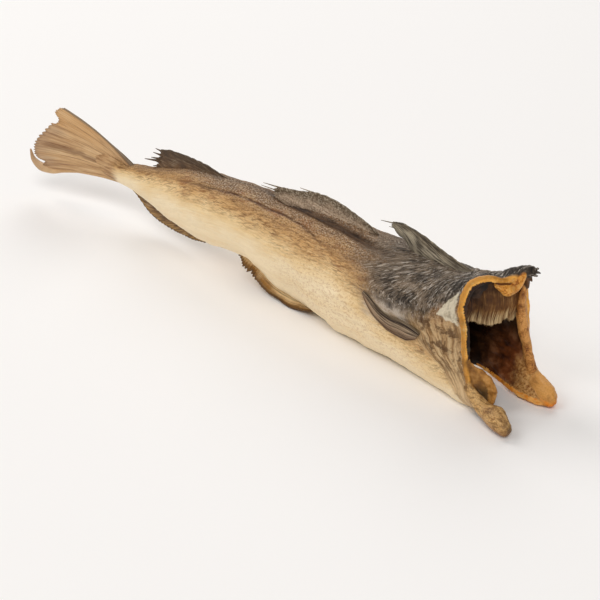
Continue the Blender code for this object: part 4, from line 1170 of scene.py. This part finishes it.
def paint_rim():
    p = Paint("cut_rim", 0.42)
    lobes = p.parts("cut")[1]
    _, far, tip = p.parts("limb")
    curl, relief = p.parts("spot")[1], p.parts("mark")[2]
    _, along, inward = p.parts("ring")
    leaf_share, leaf_down, hem = p.parts("leaf")
    crease, flesh, fold = p.parts("crease")
    place = p.place()
    ahead, _, up = p.split(place)
    fine, coarse = p.noise(place, 900, 4, 0.65), p.noise(place, 170)
    lines = p.noise(p.field("ring"), (1.5, 0.10), 3, 0.6, 0.3)
    # The ochre band, browner along the far edge.
    p.colour = p.ramp(lines * 0.6 + coarse * 0.4, (0.32, *OCHRE_DARK), (0.43, *OCHRE), (0.54, *OCHRE),
                      (0.66, *OCHRE_PALE))
    # Paler on the band's inner side as a painted highlight, and browner on its outer side.
    p.cover(inward.rise(0.45, 0.95) * 0.6, (236, 190, 128))
    p.cover(inward.rise(-0.2, -0.8) * 0.45, (150, 92, 40))
    p.cover(fine.rise(0.5, 0.36) * 0.4, OCHRE_DARK)
    p.cover(along.rise(240, 275) * along.rise(350, 300),
            p.ramp(coarse, (0.34, 66, 40, 22), (0.48, 126, 82, 42), (0.60, 186, 128, 66)))
    # The flesh inside the far edge, the fold under the nape and the torn tip.
    p.cover(flesh.rise(1.2, 0.0), p.ramp(coarse * 0.6 + fine * 0.4, (0.36, 104, 58, 26), (0.46, 184, 120, 58),
                                         (0.56, 230, 168, 94), (0.68, 190, 118, 60)))
    p.cover(fold.rise(1.0, 0.0), p.ramp(p.noise(place, 260, 4, 0.7, 0.8), (0.38, 150, 84, 24),
                                        (0.46, 224, 146, 50), (0.6, 244, 184, 96)))
    # Painted shade in the crease between the rim and the fold.
    p.cover(crease.rise(0.15, 0.7) * 0.9, (96, 48, 12))
    p.cover(tip.rise(1.6, 0.2), p.ramp(coarse, (0.36, 34, 28, 23), (0.52, 78, 64, 50), (0.66, 150, 132, 108)))
    # The two lobes, tan with dark seams; the far one is more golden and has an orange hem.
    tan = p.ramp(coarse, (0.26, *TAN_DARK), (0.40, *TAN), (0.60, 214, 172, 112))
    seams = p.node("ShaderNodeTexVoronoi", {"Vector": place, "Scale": 520.0}, "Distance",
                   feature="DISTANCE_TO_EDGE")
    tan = p.mix(seams.rise(0.10, 0.02) * 0.42, tan, TAN_DARK)
    tan = p.mix(fine.rise(0.50, 0.36) * 0.45, tan, (112, 70, 34))
    low = up + (coarse - 0.5) * 0.006
    gold = p.mix(low.rise(0.0085, 0.0045), p.mix(0.55, tan, GOLD),
                 p.mix(coarse * 0.5, (252, 148, 32), (186, 102, 28)))
    fibres = p.noise(place, (130, 420, 420), 4, 0.6, 0.4)
    on_near = p.mix(fibres.rise(0.50, 0.40) * 0.6, tan, (108, 72, 36))
    on_near = p.mix(fibres.rise(0.54, 0.66) * 0.5, on_near, (224, 188, 132))
    on_near = p.mix(low.rise(0.010, 0.003) * 0.6, on_near, (140, 84, 34))
    on_near = p.mix((ahead + (coarse - 0.5) * 0.012).rise(0.296, 0.304) * 0.7, on_near, (96, 66, 30))
    p.cover(lobes.rise(2.2, 0.4), p.mix(far.rise(1.8, -0.5), on_near, gold))
    p.cover(hem.rise(1.2, 0.2) * far.rise(0.0, 2.5), p.mix(coarse.rise(0.4, 0.6), (232, 140, 42), (250, 184, 96)))
    # The curled leaf inside the near flap: ochre at its edge, browner inside, with painted shade in the pocket at
    # its lower inner part.
    leaf = p.ramp(coarse, (0.34, 132, 84, 34), (0.5, 186, 128, 58), (0.66, 220, 164, 92))
    leaf = p.mix(leaf_share.rise(0.95, 0.75) * 0.45, leaf, (118, 84, 44))
    leaf = p.mix(leaf_share.rise(0.92, 0.70) * leaf_down.rise(0.40, 0.62) * 0.85, leaf, (58, 44, 20))
    p.cover(curl.rise(2.5, 0.5), leaf)
    # Painted shade: darker where the fine relief sinks in.
    p.cover(relief.rise(0.0, -0.5) * 0.4, (132, 92, 52), "MULTIPLY")
    return p.finish(fine * 0.5 + lines * 0.9, 0.7)


def paint_lining():
    p = Paint("inner_flesh", 0.42)
    place = p.place()
    ahead, across, up = p.split(place)
    mottle, fine = p.noise(place, 90, 4, 0.6), p.noise(place, 500, 3, 0.6)
    # Dark brown flesh, painted near black as the shade deep in the hollow.
    p.colour = p.ramp(mottle, (0.3, 18, 10, 5), (0.5, 46, 26, 12), (0.7, 84, 54, 28))
    front = ahead + (mottle - 0.5) * 0.03
    wet = front.rise(0.225, 0.262) * up.rise(0.056, 0.024) * across.rise(-0.012, 0.012)
    p.cover(wet, p.ramp(mottle, (0.3, 70, 30, 12), (0.5, 124, 66, 30), (0.64, 160, 106, 70), (0.78, 124, 64, 26)))
    p.cover(front.rise(0.260, 0.272) * up.rise(0.034, 0.022),
            p.ramp(fine, (0.36, 140, 88, 40), (0.5, 190, 138, 78), (0.66, 216, 168, 108)))
    film = p.noise(place, 70, 4, 0.6, 1.2).rise(0.52, 0.62) * across.rise(0.012, -0.002)
    p.cover(film * up.rise(0.060, 0.045) * 0.5, (78, 74, 58))
    p.cover(up.rise(0.045, 0.062) * across.rise(0.0, 0.02) * 0.7, p.mix(mottle, (60, 36, 18), (136, 92, 50)))
    return p.finish(fine + mottle, 0.5)


def paint_curtain():
    p = Paint("flesh_fibres", 0.6)
    _, down, across = p.parts("web")
    strand = p.noise(p.field("web"), (1.1, 1.6), 4, 0.6)
    mixed = strand * 0.55 + p.noise(p.place(), 120, 3, 0.6) * 0.45
    # Near black at the top and at the near end, painted shade under the nape; browner towards the far end and the
    # bottom.
    p.colour = p.ramp(mixed, (0.32, 16, 6, 1), (0.5, 44, 18, 3), (0.66, 92, 50, 16))
    p.cover((across + down * 0.35).rise(0.30, 0.95),
            p.ramp(mixed, (0.32, 64, 36, 14), (0.5, 118, 76, 34), (0.66, 180, 136, 80)))
    pale = p.ramp(strand, (0.35, 136, 98, 58), (0.62, 222, 194, 146))
    p.cover((down + (strand - 0.5) * 0.8).rise(0.66, 1.04), pale)
    return p.finish(mixed, 0.6)


def paint_fin(name, root, middle, edge, dark, streaks=0.5, roughness=0.55, rim=0.0, specks=0.0, weft=1.3):
    """A fin's finish: three tones from root to edge, fine streaks along the rays, and a dark outline."""
    p = Paint(name, roughness)
    web, wave, lay = p.field("web"), p.parts("web")[2], p.parts("lay")[0]
    strand = p.noise(web, (weft, 1.1), 4, 0.6, 0.3)
    tone = lay + (p.noise(p.field("flow"), (0.07, 0.07, 0.12), 4) - 0.5) * 0.8
    p.colour = p.ramp(tone, (0.15, *root), (0.5, *middle), (0.85, *edge))
    p.cover(strand.rise(0.56, 0.38) * streaks, dark)
    p.cover(strand.rise(0.54, 0.68) * (streaks * 0.8), p.mix(0.5, p.colour, (222, 204, 172)))
    p.cover(wave.rise(0.4, 0.0) * (streaks * 0.6), dark)
    if rim:
        p.cover(lay.rise(1.0 - rim, 1.0) * 0.8, dark)
    if specks:
        grain = p.noise(p.field("flow"), (0.6, 0.75, 0.75), 2, 0.75)
        p.cover(grain.rise(0.50, 0.62) * specks, SILVER)
        p.cover(grain.rise(0.49, 0.38) * specks, (70, 54, 42))
    return p.finish(strand + p.noise(web, (4, 5), 3, 0.6) * 0.5, 0.35)


def paint_tail():
    """Tan and golden, with uneven brown streaks along the rays and one dark crease."""
    p = Paint("tail", 0.45)
    web = p.field("web")
    rays, out, wave = p.parts("web")
    wide = p.noise(web, (0.28, 1.6), 3, 0.6, 0.4)
    strand = p.noise(web, (1.0, 1.8), 4, 0.65, 0.3)
    thread = p.noise(web, (3, 3), 3, 0.6, 0.2)
    p.colour = p.ramp(wide * 0.6 + strand * 0.4, (0.34, 150, 110, 74), (0.45, 198, 156, 110),
                      (0.57, 222, 184, 136), (0.7, 236, 206, 164))
    p.cover(rays.rise(17, 25) * out.rise(0.25, 0.6) * 0.45, (218, 168, 108))
    p.cover((out + (wide - 0.5) * 0.5).rise(0.72, 0.98) * rays.rise(24, 19) * 0.6, (178, 144, 114))
    root = (out + (strand - 0.5) * 0.25).rise(0.34, 0.06)
    p.cover(root * rays.rise(20, 7) * 0.8, (230, 202, 152))
    p.cover(root * rays.rise(12, 20) * 0.45, (150, 106, 62))
    bend = rays + (p.noise(web, (0, 4), 2) - 0.5) * 5
    crease = abs(bend - 14.6).rise(2.2, 0.2) * out.rise(1.05, 0.8) * out.rise(0.02, 0.12)
    p.cover(crease * 0.62, (112, 76, 48))
    p.cover(strand.rise(0.47, 0.36) * 0.5, (128, 88, 54))
    p.cover(thread.rise(0.54, 0.66) * 0.3, (232, 202, 160))
    p.cover(wave.rise(0.35, 0.0) * 0.22, (122, 82, 50))
    p.cover(rays.rise(32.6, 33.9) * 0.75, (112, 98, 84))
    p.cover(out.rise(0.955, 1.0) * 0.35, (110, 78, 54))
    return p.finish(strand + thread * 0.6, 0.35)


# ---------------------------------------------------------------- putting it together
def settle(made, finish):
    made.data.materials.clear()
    made.data.materials.append(finish)
    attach(made, "root")
    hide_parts(NODE)


skin_piece, rim_piece, lining_piece = trunk_pieces()
settle(skin_piece, paint_skin())
settle(rim_piece, paint_rim())
settle(lining_piece, paint_lining())
settle(flesh_curtain("flesh_curtain"), paint_curtain())

THICK, RAGGED = (4.6, 1.4), ((0.0, 0.8), (0.3, 0.4), (1.0, 0.2))
settle(fin_patch("third_back_fin", THIRD_FOOT, THIRD_TOP, (9, 12), THICK, RAGGED, 4.0, THIRD_SPINES),
       paint_fin("third_fin", (126, 94, 62), (102, 76, 52), (86, 66, 46), (54, 38, 26)))
settle(fin_patch("second_back_fin", SECOND_FOOT, SECOND_TOP, (12, 12), THICK, ((0.0, 0.8), (0.3, 0.5), (1.0, 0.2)),
                 4.5, SECOND_SPINES, size=(190, 44)),
       paint_fin("second_fin", (192, 164, 136), (180, 154, 128), (104, 88, 66), (92, 74, 56), 0.35, specks=0.5))
settle(fin_patch("first_back_fin", FIRST_FOOT, FIRST_TOP, (8, 10), THICK, ((0.0, 0.6), (0.3, 0.4), (1.0, 0.2)),
                 1.5, FIRST_SPINES),
       paint_fin("first_fin", (132, 122, 104), (170, 158, 136), (108, 96, 78), (56, 47, 38), 0.8))
settle(fin_patch("rear_belly_fin", REAR_BELLY_FOOT, REAR_BELLY_FIN, (24, 7), (4.6, 1.5),
                 ((0.0, 1.0), (0.3, 0.7), (1.0, 0.5)), 1.0, (), size=(190, 40)),
       paint_fin("rear_belly", (78, 54, 30), (132, 96, 54), (182, 140, 82), (58, 40, 24), 0.7, rim=0.12))
settle(folded_fin("front_belly_fin"),
       paint_fin("front_belly", (255, 242, 206), (248, 220, 170), (176, 128, 64), (70, 46, 26), 0.45, rim=0.28))
for name, side in (("breast_fin_near", -1), ("breast_fin_far", 1)):
    settle(breast_fin(name, side),
           paint_fin(name + "_finish", (136, 102, 74), (186, 158, 128), (112, 94, 72), (42, 27, 17), 1.0, 0.6,
                     weft=0.95))
settle(tail_fin("tail_fin"), paint_tail())

# ---------------------------------------------------------------- table, light and camera
TABLE_REACH = 6.0
floor_mesh = bpy.data.meshes.new("floor")
floor_mesh.from_pydata([(x * TABLE_REACH, y * TABLE_REACH, 0) for x, y in ((-1, -1), (1, -1), (1, 1), (-1, 1))], [],
                       [(0, 1, 2, 3)])
floor = placed("floor", floor_mesh)
table = bpy.data.materials.new("table")
table.use_nodes = True
table_shader = table.node_tree.nodes["Principled BSDF"]
table_shader.inputs["Base Color"].default_value = rgb(249, 247, 246)
table_shader.inputs["Roughness"].default_value = 0.75
floor.data.materials.append(table)


def aim(made, place, right, back):
    up = np.cross(back, right)
    made.matrix_world = Matrix([[right[i], up[i], back[i], place[i]] for i in range(3)] + [[0, 0, 0, 1]])


def area_light(name, place, size, power):
    """A round soft light that shines at the middle of the fish."""
    lamp = bpy.data.lights.new(name, "AREA")
    lamp.shape = "DISK"
    lamp.size = size
    lamp.energy = power
    lamp.color = (1.0, 0.994, 0.985)
    back = np.array(place) / np.linalg.norm(place)
    right = np.cross((0.0, 0.0, 1.0), back)
    aim(placed(name, lamp), place, right / np.linalg.norm(right), back)


area_light("left", (-4.83, 0.0, 4.35), 3.6, 142.0)
area_light("near_left", (-2.42, -4.18, 4.35), 3.4, 72.0)
area_light("near_right", (2.96, -2.96, 4.98), 3.4, 142.0)
area_light("far_left", (-2.42, 4.18, 4.35), 4.6, 130.0)

world = bpy.data.worlds.new("studio")
world.use_nodes = True
world.node_tree.nodes["Background"].inputs["Color"].default_value = (1.0, 0.97, 0.92, 1.0)
world.node_tree.nodes["Background"].inputs["Strength"].default_value = 0.235
bpy.context.scene.world = world

AZIMUTH, ELEVATION = math.radians(44.0), math.radians(30.0)
CAMERA_AT = (0.712685, -0.681996, 0.552615)
lens = bpy.data.cameras.new("camera")
lens.sensor_width = 36.0
lens.lens = 75.0
lens.clip_end = 50.0
camera = placed("camera", lens)
aim(camera, CAMERA_AT, np.array([math.cos(AZIMUTH), math.sin(AZIMUTH), 0.0]),
    np.array([math.sin(AZIMUTH) * math.cos(ELEVATION), -math.cos(AZIMUTH) * math.cos(ELEVATION),
              math.sin(ELEVATION)]))
bpy.context.scene.camera = camera
bpy.context.scene.view_settings.view_transform = "Standard"
bpy.context.scene.view_settings.look = "None"
